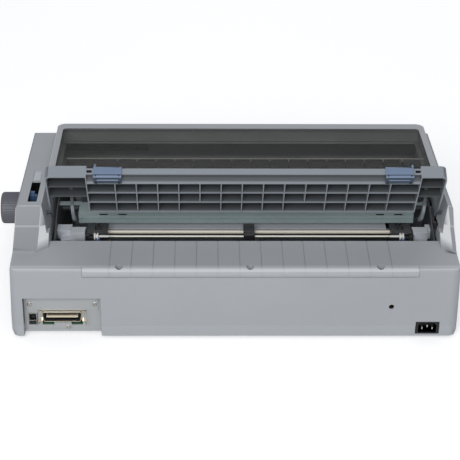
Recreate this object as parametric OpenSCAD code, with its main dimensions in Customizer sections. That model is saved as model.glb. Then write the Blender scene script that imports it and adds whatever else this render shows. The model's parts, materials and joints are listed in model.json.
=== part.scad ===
// Wide-carriage dot matrix printer with its rear paper guide raised.
// X runs along the carriage, the operator's front faces -Y, and Z is up.
// The origin is on the surface the printer stands on, under the middle of its whole box.

/* [Case] */
// Width of the case at the seam
case_w = 610; // [550:1:670]
// Depth of the case from the front face to the rear face
case_d = 400; // [360:1:440]
// Height of the rubber feet
foot_h = 4; // [3:0.5:8]
// Height of the seam between the lower and the upper case
seam_z = 20; // [17:0.5:24]
// Height of the rear face, where the rear deck begins
rear_h = 107.4; // [104:0.2:112]
// Slope of the rear deck in degrees
deck_slope = 5.5; // [4:0.5:7]
// Height of the two shoulders
shoulder_z = 160; // [156:1:168]
// Height of the front face, where the front slope begins
front_h = 92; // [88:1:100]
// Thickness of the case walls
wall = 2.6; // [2:0.1:3]
// Lean of the side walls in degrees
draft = 2; // [0.5:0.25:3]
// Radius of the upright corners
corner_r = 14; // [8:1:20]
// Length of the slanted inner wall of a shoulder, seen from above, in degrees of lean
inner_lean = 12.8; // [10:0.2:14]

/* [Top opening] */
// Sideways place of the middle of the mechanism
mech_x = -14; // [-18:1:-10]
// How much narrower than the case the opening over the mechanism is
opening_less = 78; // [72:1:82]
// Distance from the rear face to the rear edge of the opening
slot_back = 69; // [66:1:72]
// Distance from the rear face to the front edge of the recess for the cover
recess_front = 338; // [336:1:342]
// Height of the ledge that carries the top cover
ledge_z = 144; // [143:0.5:146]

/* [Top cover] */
// How much narrower than the case the top cover is
cover_less = 55; // [54:1:62]
// Height of the top face of the cover
cover_z = 172; // [170:1:180]
// Thickness of the cover plate
cover_t = 3; // [2.5:0.1:4]
// Width of the frame at each side of the window
cover_side = 9; // [7:0.5:14]
// Width of the frame in front of the window
cover_front = 17; // [12:1:24]
// Thickness of the smoky window
window_t = 2; // [1.5:0.1:2.4]

/* [Paper guide] */
// Lean of the raised guide from the horizontal, in degrees
guide_lean = 59.6; // [58:0.2:61]
// Length of the ribbed panel of the guide
guide_len = 86; // [80:1:90]
// Thickness of the guide from the ribbed face to the paper side
guide_t = 18; // [16:0.5:20]
// Thickness of the guide's ribs
rib_t = 1.4; // [1:0.1:2]
// Number of upright ribs on the guide
rib_count = 14; // [12:1:16]
// Width of an edge guide
edge_w = 37.5; // [30:0.5:40]

/* [Platen] */
// Diameter of the rubber roller
platen_d = 34; // [30:0.5:36]
// How much shorter the rubber roller is than the opening is wide
platen_less = 82; // [80:1:102]
// Height of the roller's axis
platen_z = 101; // [100:0.5:102]
// Diameter of the roller's steel shaft
platen_shaft_d = 10; // [8:0.5:12]
// Diameter of the knob
knob_d = 46; // [38:0.5:50]
// Length of the knob
knob_l = 32; // [26:0.5:36]

/* [Gears] */
// Module of the paper feed gears
gear_m = 1; // [0.98:0.005:1.01]
// Width of the paper feed gears
gear_w = 5; // [3:0.5:7]

/* [Tractors] */
// Diameter of the tractor drive shaft
drive_d = 5.5; // [5:0.25:6.5]
// Diameter of the tractor support rod
rod_d = 2.6; // [2.2:0.1:4]
// Width of a tractor body
tractor_w = 25; // [22:0.5:25]

/* [Print mechanism] */
// Diameter of the carriage shaft
slide_d = 10; // [8:0.5:12]
// Width of the carriage
carriage_w = 56; // [50:1:60]
// How much shorter the carriage's travel is than the opening is wide
travel_less = 162; // [158:1:192]
// Radius of the belt pulleys
pulley_r = 8; // [7:0.5:9]
// Thickness of the timing belt
belt_t = 1.4; // [1:0.1:1.6]

/* [Connectors] */
// Width of the connector recess
bay_w = 105; // [100:1:110]
// Height of the top of the connector recess
bay_top = 62.7; // [60:0.5:66]
// Depth of the connector recess
bay_d = 12.8; // [11:0.2:14]
// Width of the mains inlet
inlet_w = 32.6; // [30:0.2:34]
// Height of the mains inlet
inlet_h = 19.2; // [18:0.2:20]

/* [Fits] */
// Clearance on each side of a running shaft
run_fit = 0.05; // [0.02:0.01:0.09]
// Clearance between parts that move past each other
gap = 0.4; // [0.3:0.05:0.6]

/* [Hidden] */
$fn = 64;

// Faces of the case
rear = case_d / 2;
front = -case_d / 2;
floor_z = foot_h + wall;

// Rear deck and shoulders
step_z = shoulder_z - 33;
facet_turn = 126.2;
facet_steep = 64.4;
facet_flat = 48.6;
facet_out = 8.2;
facet_reach = 90;
foot_y = rear - 42.3;
knee_y = rear - 70;
knee_z = shoulder_z - 24;
brow_y = rear - 86;
crown_y = rear - 330.5;
slot_y = rear - slot_back;
recess_y = rear - recess_front;
front_slope = atan2(shoulder_z - front_h, crown_y - front);
side = case_w / 2;
opening_w = case_w - opening_less;
opening_h = opening_w / 2;
opening_y = recess_y + 7;
platen_y = rear - 195;
cover_hinge_y = platen_y + 35;
cover_back = cover_hinge_y + 10;
ledge_back = cover_hinge_y - 20;

// Side frames, chassis and gears
frame_t = 1.6;
frame_h = opening_h - 4;
frame_x = frame_h + frame_t;
plate_z = 12;
plate_top = plate_z + frame_t;
gear_x = frame_x + 3;
platen_teeth = 40;
idler_teeth = 40;
drive_teeth = 30;
pinion_teeth = 12;
idler_y = platen_y + gear_m * (platen_teeth + idler_teeth) / 2;
drive_y = idler_y + gear_m * (idler_teeth + drive_teeth) / 2;
pinion_z = platen_z - gear_m * (platen_teeth + pinion_teeth) / 2;
rod_y = drive_y + 20.5;
rod_z = platen_z + 4;
stub_d = 6;

// Hinges of the covers and the guide
cover_hinge_z = 152;
hinge_d = 5;
guide_y = rear - 105;
guide_z = 140;
guide_foot_y = rear - 86;
guide_foot_z = 150;
guide_left = opening_h + 1.5;
guide_right = opening_h + 1;
step_left = guide_left + 0.6;
step_right = guide_right + 0.6;
mid_left = guide_left - 55;
mid_right = guide_right - 35;
block_r = 8;
block_low = 33.5;
block_rib = 56.8;
rail_u = guide_len - 7;
rail_n0 = 4.6;
rail_n1 = 13.8;

// Release lever
lever_x = side - 26;
lever_w = 6.6;
lever_y = rear - 131;
lever_z = 103;
lever_r = 54;
lever_rest = -4;
gap_y = platen_y - 35;
gap_z = 105;

// Print mechanism
slide_y = platen_y - 67;
slide_z = 72;
carriage_x = mech_x - (opening_w - travel_less) / 2;
belt_y = platen_y - 100;
belt_z = 66;
belt_h = 6;
pulley_x = opening_h - 28;
rail_y = platen_y - 114;
rail_top = 74;
cart_z = 93;
cart_h = opening_h - 22;

// Rear connectors
bay_x = side - 70.4;
socket_x = bay_x + 1;
socket_z = 29.4;
usb_x = bay_x + 40.7;
usb_z = 26.9;
bay_y = rear - bay_d;
board_z = 14;
board_t = 1.6;
board_y = rear - 68;
inlet_x = -side + 42.1;
inlet_z = 16.4;
hole_x = -side + 93.2;
hole_z = 49.7;

// Deck details
ledge_left = side - 99.8;
ledge_right = -side + 59.2;
nose_r = 9;
nose_y = rear - nose_r + 1.2;
nose_z = rear_h - nose_r + 0.85;
nose_low = rear_h - 10;
seam_gap = 0.8;
screw_y = rear - 7.6;
recess_z = rear_h - 14;
deck_screw_x = [for (i = [-1:1]) (ledge_left + ledge_right) / 2 + 0.9 + i * (ledge_left - ledge_right - 100.2) / 2];
groove_first = ledge_left - 36;
groove_count = 14;
groove_pitch = (groove_first - ledge_right - 35.8) / (groove_count - 1);

// Tractors, from the middle of the mechanism
tractor_ear = 4.6;
bracket_right = opening_h - 44;
bracket_left = opening_h - 30;
right_tractor_x = bracket_right - 1 - tractor_ear - tractor_w / 2;
left_tractor_x = -(bracket_left - 0.5 - tractor_ear - tractor_w / 2);
support_x = -6.7;

// Height of the rear deck and half width of the case and of the recess between the shoulders
function deck(y) = rear_h + (rear - y) * tan(deck_slope);
function half(z) = case_w / 2 - (z - seam_z) * tan(draft);
function inner_half(z) = opening_h + 1 + (z - rear_h) * tan(inner_lean);
function unit(v) = v / norm(v);
// A closed outline, listed anticlockwise, moved inwards by w
function inset(p, w) = [for (i = [0:len(p) - 1])
  let (n = len(p), a = unit(p[i] - p[(i + n - 1) % n]), b = unit(p[(i + 1) % n] - p[i]),
    u = [-a[1], a[0]], v = [-b[1], b[0]]) p[i] + w * (u + v) / (1 + u * v)];
// A corner at b, between a and c, as an arc of radius r in n steps
function arc(a, b, c, r, n) = let (u = unit(a - b), v = unit(c - b), h = acos(u * v) / 2,
  m = b + unit(u + v) * r / sin(h), s = b + u * r / tan(h) - m, e = b + v * r / tan(h) - m,
  from = atan2(s[1], s[0]), turn = (atan2(e[1], e[0]) - from + 540) % 360 - 180)
  [for (i = [0:n]) m + r * [cos(from + turn * i / n), sin(from + turn * i / n)]];
function side_outline(low) = let (fold = [rear, rear_h], foot = [foot_y, deck(foot_y)], knee = [knee_y, knee_z],
  brow = [brow_y, shoulder_z], crown = [crown_y, shoulder_z], lip = [front, front_h])
  concat([[front, low], [rear, low]], arc([rear, low], fold, foot, 3, 2), arc(fold, foot, knee, 16, 4),
  [knee], arc(knee, brow, crown, 2, 2), arc(brow, crown, lip, 8, 4), arc(crown, lip, [front, low], 10, 3));
// Half of the case's outline across, with its top corner rounded
function side_slope(low, w) = concat([[half(low) - w, low]],
  arc([half(low) - w, low], [half(shoulder_z) - w, shoulder_z - w], [0, shoulder_z - w], 5 - w / 2, 3));
function across(p) = concat(p, [for (i = [len(p) - 1:-1:0]) [-p[i][0], p[i][1]]]);

module bx(x0, x1, y0, y1, z0, z1) translate([x0, y0, z0]) cube([x1 - x0, y1 - y0, z1 - z0]);
module cyl_x(d, x0, x1, y, z) translate([x0, y, z]) rotate([0, 90, 0]) cylinder(h = x1 - x0, d = d);
module cyl_y(d, y0, y1, x, z) translate([x, y1, z]) rotate([90, 0, 0]) cylinder(h = y1 - y0, d = d);
module cyl_z(d, z0, z1, x, y) translate([x, y, z0]) cylinder(h = z1 - z0, d = d);
// An outline in Y and Z drawn out along X, and one in X and Z drawn out along Y
module along_x(p, x0, x1) translate([x0, 0, 0]) rotate([90, 0, 90]) linear_extrude(x1 - x0) polygon(p);
module along_y(p, y0, y1) translate([0, y1, 0]) rotate([90, 0, 0]) linear_extrude(y1 - y0) polygon(p);
// The case stands a little to the left, so that the origin is under the middle of the whole printer
module placed() translate([(case_w / 2 - knob_x - knob_l) / 2, 0, 0]) children();
module both() {
  children();
  mirror([1, 0, 0]) children();
}
module mech() translate([mech_x, 0, 0]) children();
module block(w, d, r, z0, z1) {
  bx(-w / 2 + r, w / 2 - r, -d / 2, d / 2, z0, z1);
  bx(-w / 2, w / 2, -d / 2 + r, d / 2 - r, z0, z1);
  for (x = [-w / 2 + r, w / 2 - r], y = [-d / 2 + r, d / 2 - r]) cyl_z(2 * r, z0, z1, x, y);
}

// Case shells

module case_outer() intersection() {
  along_x(side_outline(seam_z), -case_w, case_w);
  along_y(across(side_slope(seam_z, 0)), front - 1, rear + 1);
  block(case_w, case_d, corner_r, seam_z, shoulder_z + 1);
}
module case_inner() intersection() {
  along_x(inset(side_outline(floor_z), wall), -case_w, case_w);
  along_y(across(side_slope(floor_z, wall)), front, rear);
  block(case_w - 2 * wall, case_d - 2 * wall, corner_r - wall, floor_z, shoulder_z + 1);
}
module recess_shape(extra, low) mech() along_y([[-inner_half(low) - extra, low],
  [inner_half(low) + extra, low], [inner_half(200) + extra, 200], [-inner_half(200) - extra, 200]],
  front - 1, rear + 2);
module shoulder_walls() intersection() {
  case_outer();
  difference() {
    recess_shape(wall, rear_h);
    recess_shape(0, rear_h - 1);
  }
  bx(-case_w, case_w, recess_y - wall, foot_y + 2, rear_h, shoulder_z + 1);
}
module deck_sheet() intersection() {
  case_outer();
  union() {
    along_x([[slot_y, deck(slot_y) - wall], [rear, rear_h - wall], [rear, rear_h], [slot_y, deck(slot_y)]],
      -case_w, case_w);
    mech() bx(-inner_half(rear_h), inner_half(rear_h), slot_y, slot_y + wall, deck(slot_y) - 9, deck(slot_y) - 1);
  }
}
module cover_ledge() intersection() {
  case_outer();
  recess_shape(wall, ledge_z - wall);
  union() {
    mech() both() bx(opening_h, case_w, recess_y - wall, ledge_back, ledge_z - wall, ledge_z);
    bx(-case_w, case_w, recess_y - wall, opening_y, ledge_z - wall, ledge_z);
    bx(-case_w, case_w, recess_y - wall, recess_y, ledge_z - wall, shoulder_z);
  }
}
module recess_cut() {
  difference() {
    intersection() {
      recess_shape(0, rear_h - 1);
      union() {
        along_x([[slot_y - 1, deck(slot_y - 1)], [rear + 2, deck(rear + 2)], [rear + 2, 200], [slot_y - 1, 200]],
          -case_w, case_w);
        bx(-case_w, case_w, recess_y, slot_y, ledge_z, 200);
        bx(-case_w, case_w, ledge_back, slot_y, rear_h - 1, 200);
      }
    }
    shoulder_steps();
  }
  mech() bx(-opening_h, opening_h, opening_y, slot_y, rear_h - 20, 200);
  // Room for the gears beside the left frame
  mech() bx(-gear_x - gear_w - 6, -frame_x, platen_y - 24, drive_y + 18, rear_h - 1, platen_z + 22);
}
// Step of the shoulders' inner walls under the arms of the guide
module shoulder_steps() mech() {
  bx(step_left, inner_half(step_z) + 1, brow_y + 4, foot_y, rear_h - 1, step_z);
  bx(-inner_half(step_z) - 1, -step_right, brow_y + 4, foot_y, rear_h - 1, step_z);
}
// Space in front of the slanted facets at the inner rear edges, carried on by depth into the shoulders
module facet_half(tilt, depth) rotate([0, tilt, facet_turn])
  translate([-facet_reach, -facet_reach, -depth]) cube([2 * facet_reach, 2 * facet_reach, facet_reach]);
module facet_space(depth) mech() both() translate([inner_half(knee_z) + facet_out, knee_y, knee_z]) intersection() {
  facet_half(facet_flat, depth);
  facet_half(facet_steep, depth);
}
module above_deck(low, y0, y1) along_x([[y0, deck(y0) - low], [y1, deck(y1) - low], [y1, shoulder_z + 20],
  [y0, shoulder_z + 20]], -case_w, case_w);
module facet_walls() intersection() {
  case_outer();
  above_deck(wall, brow_y - 14, foot_y + 2);
  union() {
    shoulder_steps();
    intersection() {
      facet_space(wall);
      mech() both() bx(opening_h, opening_h + 30, brow_y - 14, foot_y + 2, rear_h - wall, shoulder_z + 1);
    }
  }
}
module facet_cut() intersection() {
  facet_space(0);
  above_deck(0, brow_y - 14, foot_y + 14);
}
// Rolled lip along the rear edge of the deck
module nose() {
  cyl_x(2 * nose_r, ledge_right, ledge_left, nose_y, nose_z);
  bx(ledge_right, ledge_left, rear - wall, nose_y + nose_r, nose_low, nose_z);
}
module nose_cut() bx(ledge_right, ledge_left, rear - nose_r, rear + 2, rear_h - nose_r, rear_h + 3);
// Seams under the lip and at its ends
module nose_seams() {
  bx(ledge_right, ledge_left, rear - seam_gap, rear + 2, nose_low - seam_gap, nose_low);
  for (x = [ledge_right - seam_gap, ledge_left]) {
    bx(x, x + seam_gap, rear - seam_gap, rear + 2, nose_low - seam_gap, rear_h + 3);
    bx(x, x + seam_gap, nose_y, rear + 2, rear_h - 0.3, rear_h + 3);
  }
}
module screw_boss() for (x = deck_screw_x)
  bx(x - 8, x + 8, screw_y - 8, rear - wall + 0.5, recess_z - 6, rear_h - 1);
module deck_screw_cuts() for (x = deck_screw_x) {
  cyl_z(10.6, recess_z, rear_h + 3, x, screw_y);
  cyl_z(3.4, recess_z - 9, rear_h, x, screw_y);
}
// Grooves across the deck and round the lip
groove_w = 1.3;
groove_deep = 0.5;
groove_r = nose_r - groove_deep;
module grooves() for (i = [0:groove_count - 1]) translate([groove_first - i * groove_pitch, 0, 0])
  along_x(concat([[slot_y - 1, deck(slot_y - 1) - groove_deep]],
    [for (a = [84:-14:0]) [nose_y + groove_r * cos(a), nose_z + groove_r * sin(a)]],
    [[nose_y + groove_r, nose_low - 1], [rear + 4, nose_low - 1], [rear + 4, rear_h + 8],
    [slot_y - 1, rear_h + 20]]), -groove_w / 2, groove_w / 2);
module bay_walls(z0, z1) difference() {
  bx(bay_x - bay_w / 2 - wall, bay_x + bay_w / 2 + wall, bay_y, rear - 1, z0, z1 + wall);
  bx(bay_x - bay_w / 2, bay_x + bay_w / 2, bay_y - 1, rear + 1, z0 - 1, z1);
}
module inlet_cut() bx(inlet_x - inlet_w / 2, inlet_x + inlet_w / 2, rear - 30, rear + 1,
  inlet_z - inlet_h / 2, inlet_z + inlet_h / 2);

panel_w = 150;
panel_l = 34;
panel_x = side - 100;
door_l = -side + 65;
door_r = side - 205;
door_low = 31.9;
door_high = 84;
door_axis_y = front + 1.8;
door_axis_z = door_low + 2.4;
door_pin_d = 2;
switch_x = side - 55;
switch_z = 58;
switch_y = front + 5.3;
switch_tilt = 8;
switch_w = 15;
switch_h = 21;

module on_slope() translate([panel_x, (crown_y + front) / 2, (shoulder_z + front_h) / 2])
  rotate([front_slope, 0, 0]) children();

module upper_case() color([0.62, 0.64, 0.66]) difference() {
  union() {
    difference() {
      case_outer();
      case_inner();
      nose_cut();
    }
    shoulder_walls();
    facet_walls();
    difference() {
      deck_sheet();
      nose_cut();
    }
    cover_ledge();
    screw_boss();
    nose();
    intersection() {
      bay_walls(seam_z, bay_top);
      case_outer();
    }
    along_x([[slot_y + 5, deck(slot_y + 5) - 1], [slot_y + 8.5, deck(slot_y + 8.5) - 1],
      [slot_y + 8.5, deck(slot_y + 8.5) + 1.1], [slot_y + 5, deck(slot_y + 5) + 1.1]], -side + 65, -side + 152);
    for (x = [door_l - 6, door_r + 0.4]) bx(x, x + 5.6, front + wall - 1, front + 6.2, door_low, door_low + 6);
    bx(switch_x - switch_w / 2 - 2, switch_x + switch_w / 2 + 2, front + wall - 1, front + 9,
      switch_z - switch_h / 2 - 2, switch_z + switch_h / 2 + 2);
  }
  recess_cut();
  facet_cut();
  grooves();
  nose_seams();
  deck_screw_cuts();
  bx(bay_x - bay_w / 2, bay_x + bay_w / 2, bay_y - 1, rear + 1, seam_z - 1, bay_top);
  inlet_cut();
  cyl_y(7.3, rear - 10, rear + 1, hole_x, hole_z);
  bx(lever_x - 6.4, lever_x + 6.2, lever_y - 31.2, lever_y + 33.3, shoulder_z - wall - 1, shoulder_z + 1);
  bx(lever_x - 5.3, lever_x + 6, lever_y - 64, lever_y - 34, shoulder_z - 1, shoulder_z + 1);
  cyl_x(platen_shaft_d + 4, case_w / 2 - 20, case_w / 2 + 1, platen_y, platen_z);
  cyl_x(hinge_d + 2 * run_fit, mech_x, case_w / 2 - 20, cover_hinge_y, cover_hinge_z);
  cyl_x(hinge_d + 2 * run_fit, -case_w / 2 + 8, mech_x, cover_hinge_y, cover_hinge_z);
  cyl_x(hinge_d + 2 * run_fit, mech_x, case_w / 2 - 20, guide_y, guide_z);
  cyl_x(hinge_d + 2 * run_fit, -case_w / 2 + 8, mech_x, guide_y, guide_z);
  on_slope() bx(-panel_w / 2, panel_w / 2, -panel_l / 2, panel_l / 2, -12, 2);
  bx(door_l - 0.4, door_r + 0.4, front - 1, front + wall + 0.2, door_low, door_high);
  cyl_x(door_pin_d + 2 * run_fit, door_l - 5, door_r + 5, door_axis_y, door_axis_z);
  bx(switch_x - switch_w / 2, switch_x + switch_w / 2, front - 1, front + 20,
    switch_z - switch_h / 2, switch_z + switch_h / 2);
  cyl_x(3 + 2 * run_fit, switch_x - switch_w / 2 - 1.5, switch_x + switch_w / 2 + 1.5, switch_y, switch_z);
}

module lower_case() color([0.6, 0.62, 0.65]) difference() {
  union() {
    difference() {
      intersection() {
        block(case_w, case_d, corner_r, foot_h, seam_z);
        along_y([[-case_w / 2 + 5, foot_h], [case_w / 2 - 5, foot_h], [case_w / 2, foot_h + 6],
          [case_w / 2, seam_z], [-case_w / 2, seam_z], [-case_w / 2, foot_h + 6]], front - 1, rear + 1);
      }
      intersection() {
        block(case_w - 2 * wall, case_d - 2 * wall, corner_r - wall, floor_z, seam_z + 1);
        along_y([[wall - case_w / 2 + 5, floor_z], [case_w / 2 - 5 - wall, floor_z],
          [case_w / 2 - wall, floor_z + 6], [case_w / 2 - wall, seam_z + 1],
          [wall - case_w / 2, seam_z + 1], [wall - case_w / 2, floor_z + 6]], front, rear);
      }
    }
    for (i = [-3:2:3], y = [rear - 340, rear - 90]) cyl_z(10, floor_z - 1, plate_z, i * (side - 55) / 3, y);
    for (x = [-side + 25, -side + 147, bay_x - 116.6, side - 25], y = [board_y + 8, board_y + 36])
      cyl_z(8, floor_z - 1, board_z, x, y);
    bx(bay_x - bay_w / 2 - wall, bay_x - bay_w / 2, bay_y, rear - 1, foot_h + 0.5, seam_z);
    bx(bay_x + bay_w / 2, bay_x + bay_w / 2 + wall, bay_y, rear - 1, foot_h + 0.5, seam_z);
  }
  bx(bay_x - bay_w / 2, bay_x + bay_w / 2, bay_y, rear + 1, foot_h - 1, seam_z + 1);
  inlet_cut();
}

module rubber_feet() color([0.12, 0.12, 0.12])
  for (x = [-side + 35, side - 43], y = [front + 30, rear - 35]) cyl_z(18, 0, foot_h, x, y);

// Top cover and front cover

cover_h = (case_w - cover_less) / 2;
cover_front_y = recess_y + 1.5;
skirt_x = cover_h - 4;
cover_r = 13;
window_r = 6;

// A plate of half width h with its two front corners rounded
module cover_plan(h, y0, y1, r, z0, z1) {
  bx(-h, h, y0 + r, y1, z0, z1);
  bx(-h + r, h - r, y0, y0 + r + 1, z0, z1);
  both() cyl_z(2 * r, z0, z1, h - r, y0 + r);
}
module top_cover() color([0.6, 0.62, 0.63]) mech() {
  difference() {
    cover_plan(cover_h, cover_front_y, cover_back, cover_r, cover_z - 10, cover_z);
    cover_plan(cover_h - wall, cover_front_y + wall, cover_back + 1, cover_r - wall, cover_z - 11, cover_z - cover_t);
    cover_plan(cover_h - cover_side, cover_front_y + cover_front, cover_back - 6, window_r, cover_z - 11, cover_z + 1);
    both() bx(skirt_x + 0.4, cover_h + 1, cover_hinge_y - 12, cover_back + 1, cover_z - 11, cover_z + 1);
  }
  both() difference() {
    union() {
      bx(skirt_x - wall, skirt_x, cover_front_y + 1, cover_back, ledge_z + 0.3, cover_z - cover_t + 0.5);
      cyl_x(hinge_d, skirt_x - 1, inner_half(cover_hinge_z) + wall - 0.5, cover_hinge_y, cover_hinge_z);
    }
    bx(skirt_x - 5, skirt_x + 1, cover_back - 4, cover_back + 1, ledge_z - 1, cover_hinge_z - 4);
  }
  bx(-skirt_x, skirt_x, cover_front_y + 1, cover_front_y + 1 + wall, ledge_z + 0.3, cover_z - cover_t + 0.5);
  bx(-cover_h + cover_r, cover_h - cover_r, cover_front_y, cover_front_y + wall, cover_z - 20.5, cover_z - 9);
}

module cover_window() color([0.2, 0.2, 0.2, 0.6]) mech() {
  cover_plan(cover_h - cover_side - 0.1, cover_front_y + cover_front + 0.1, cover_back - 6.1, window_r - 0.1,
    cover_z - window_t - 0.4, cover_z - 0.4);
}

module front_cover() color([0.6, 0.62, 0.64]) {
  bx(door_l, door_r, front, front + wall, door_low + 1.1, door_high - 0.4);
  cyl_x(door_pin_d, door_l - 3.5, door_r + 3.5, door_axis_y, door_axis_z);
  bx((door_l + door_r) / 2 - 40, (door_l + door_r) / 2 + 40, front + wall - 0.5, front + 5,
    door_high - 6, door_high - 1.5);
}

// Control panel and power switch

button_w = 15;
button_l = 9;
button_y = -4;
button_xs = [-46, -22, 2];

module control_panel() color([0.5, 0.52, 0.55]) on_slope() {
  difference() {
    union() {
      bx(-panel_w / 2 - 3, panel_w / 2 + 3, -panel_l / 2 - 3, panel_l / 2 + 3, 0, 1.5);
      bx(-panel_w / 2 + 0.2, panel_w / 2 - 0.2, -panel_l / 2 + 0.2, panel_l / 2 - 0.2, -6, 0.5);
    }
    for (x = button_xs) bx(x - button_w / 2 - gap, x + button_w / 2 + gap, button_y - button_l / 2 - gap,
      button_y + button_l / 2 + gap, -7, 2);
    for (i = [0:4]) cyl_z(4, -1, 2, 22 + i * 10, 7);
  }
  for (i = [0:4]) cyl_z(3.8, -1, 2, 22 + i * 10, 7);
}
module panel_button(x) color([0.42, 0.45, 0.5]) on_slope()
  bx(x - button_w / 2, x + button_w / 2, button_y - button_l / 2, button_y + button_l / 2, -5.5, 3.6);
module pause_button() panel_button(button_xs[0]);
module feed_button() panel_button(button_xs[1]);
module load_button() panel_button(button_xs[2]);

module power_switch() color([0.3, 0.31, 0.33]) translate([switch_x, switch_y, switch_z]) rotate([switch_tilt, 0, 0]) {
  along_x([[-5.2, -9.4], [4, -6], [4, 6], [-5.2, 9.4], [-3.4, 0]], -switch_w / 2 + gap, switch_w / 2 - gap);
  cyl_x(3, -switch_w / 2 - 1, switch_w / 2 + 1, 0, 0);
}

// Chassis and side frames

module chassis_plate() color([0.72, 0.73, 0.75]) {
  difference() {
    bx(mech_x - opening_h - 4, mech_x + opening_h + 6, rear - 350, slot_y - 5, plate_z, plate_top);
    for (i = [-3:2:3]) cyl_z(30, plate_z - 1, plate_top + 1, i * opening_h / 4.4, platen_y);
  }
  mech() bx(-frame_h + 6, frame_h - 6, rail_y - frame_t, rail_y, plate_top - 0.5, rail_top);
  cyl_z(stub_d - 1, plate_top - 0.5, belt_z + 10, mech_x + pulley_x, belt_y);
}

frame_y = slide_y - 63;
frame_outline = [[frame_y, plate_top], [slot_y - 5, plate_top], [slot_y - 5, rear_h + 2],
  [platen_y + 55, 132], [platen_y - 49, 132], [frame_y, 112]];

module frame_bores() {
  cyl_x(platen_shaft_d + 2 * run_fit, -frame_x - 1, frame_x + 1, platen_y, platen_z);
  cyl_x(drive_d + 2 * run_fit, -frame_x - 1, frame_x + 1, drive_y, platen_z);
  cyl_x(slide_d + 2 * run_fit, -frame_x - 1, frame_x + 1, slide_y, slide_z);
  cyl_x(rod_d + 2 * run_fit, -frame_x - 1, frame_x + 1, rod_y, rod_z);
}
module cartridge_shelf() bx(frame_h - 24, frame_h + 0.5, frame_y, slide_y - 14, cart_z - frame_t, cart_z);

module right_side_frame() color([0.34, 0.36, 0.38]) mech() {
  difference() {
    along_x(frame_outline, frame_h, frame_x);
    frame_bores();
  }
  cartridge_shelf();
  cyl_x(stub_d, frame_x - 0.5, lever_x - mech_x + 8, lever_y, lever_z);
}
module left_side_frame() color([0.34, 0.36, 0.38]) mech() {
  difference() {
    along_x(frame_outline, -frame_x, -frame_h);
    frame_bores();
    cyl_x(20, -frame_x - 1, -frame_h + 1, platen_y, pinion_z);
  }
  mirror([1, 0, 0]) cartridge_shelf();
  cyl_x(stub_d, -gear_x - gear_w - 2, -frame_x + 0.5, idler_y, platen_z);
  cyl_x(stub_d, -frame_h - 0.5, -frame_h + 10, gap_y, gap_z);
}

// Platen, its gears and the feed motor

// Gear outline with straight-sided teeth, one tooth pointing along +X
function gear_points(teeth) = let (r = gear_m * teeth / 2, s = 360 / teeth)
  [for (i = [0:teeth - 1]) each [
    [r - 1.05 * gear_m, i * s - 0.27 * s], [r + 0.72 * gear_m, i * s - 0.1 * s],
    [r + 0.72 * gear_m, i * s + 0.1 * s], [r - 1.05 * gear_m, i * s + 0.27 * s]]];
module gear(teeth, bore, phase) difference() {
  linear_extrude(gear_w) polygon([for (p = gear_points(teeth)) [p[0] * cos(p[1] + phase), p[0] * sin(p[1] + phase)]]);
  translate([0, 0, -1]) cylinder(h = gear_w + 2, d = bore);
}
// Gears stand upright outside the left frame: the outline's X points along Y of the model
module frame_gear(y, z, teeth, bore, phase) translate([mech_x - gear_x - gear_w, y, z])
  rotate([90, 0, 90]) gear(teeth, bore, phase);

shaft_left = mech_x - gear_x - gear_w - 1;
knob_x = half(platen_z) + 1;
platen_h = (opening_w - platen_less) / 2;

module platen_roller() color([0.13, 0.13, 0.13]) difference() {
  mech() cyl_x(platen_d, -platen_h, platen_h, platen_y, platen_z);
  mech() cyl_x(platen_shaft_d, -platen_h - 1, platen_h + 1, platen_y, platen_z);
}
module platen_shaft() color([0.75, 0.76, 0.78]) cyl_x(platen_shaft_d, shaft_left, knob_x + knob_l - 8, platen_y, platen_z);
module platen_gear() color([0.85, 0.84, 0.78]) frame_gear(platen_y, platen_z, platen_teeth, platen_shaft_d, 0);
module idler_gear() color([0.85, 0.84, 0.78])
  frame_gear(idler_y, platen_z, idler_teeth, stub_d + 2 * run_fit, 180 / idler_teeth);
module platen_knob() color([0.33, 0.33, 0.36]) translate([knob_x, platen_y, platen_z]) rotate([90, 0, 90])
  rotate_extrude() polygon([[platen_shaft_d / 2, 0], [knob_d / 2 - 1, 0], [knob_d / 2, 1],
    [knob_d / 2, knob_l - 3], [knob_d / 2 - 3, knob_l], [0, knob_l], [0, knob_l - 8], [platen_shaft_d / 2, knob_l - 8]]);
module motor_pinion() color([0.75, 0.72, 0.6]) {
  frame_gear(platen_y, pinion_z, pinion_teeth, 3, 90 + 180 / pinion_teeth);
  cyl_x(3, mech_x - gear_x - gear_w - 1, mech_x - frame_h + 14, platen_y, pinion_z);
}
module feed_motor() color([0.3, 0.3, 0.31]) difference() {
  union() {
    bx(mech_x - frame_h, mech_x - frame_h + 28, platen_y - 17.5, platen_y + 17.5, pinion_z - 17.5, pinion_z + 17.5);
    cyl_x(18, mech_x - frame_x - 0.8, mech_x - frame_h + 1, platen_y, pinion_z);
  }
  cyl_x(3 + 2 * run_fit, mech_x - frame_x - 2, mech_x - frame_h + 15, platen_y, pinion_z);
}

// Tractor feed

module tractor_shaft() color([0.82, 0.78, 0.7]) {
  cyl_x(drive_d, mech_x - gear_x - gear_w - 1, mech_x + bracket_right + 12, drive_y, platen_z);
  frame_gear(drive_y, platen_z, drive_teeth, 2, 0);
}
module tractor_rod() color([0.82, 0.78, 0.7])
  cyl_x(rod_d, mech_x - bracket_left - 12, mech_x + bracket_right + 12, rod_y, rod_z);

sprocket_r = 10;
pin_out = 2.8;
tractor_low = platen_z - 10;
tractor_top = platen_z + 8;
tractor_front = drive_y - 9.5;
tractor_back = rod_y + 11;
flap_x = tractor_w / 2 + 2.6;
flap_z = tractor_top + 0.6;
flap_pin = 2;
lock_y = tractor_back + 3.2;
lock_z = platen_z - 1;
lock_pin = 2.4;

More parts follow.
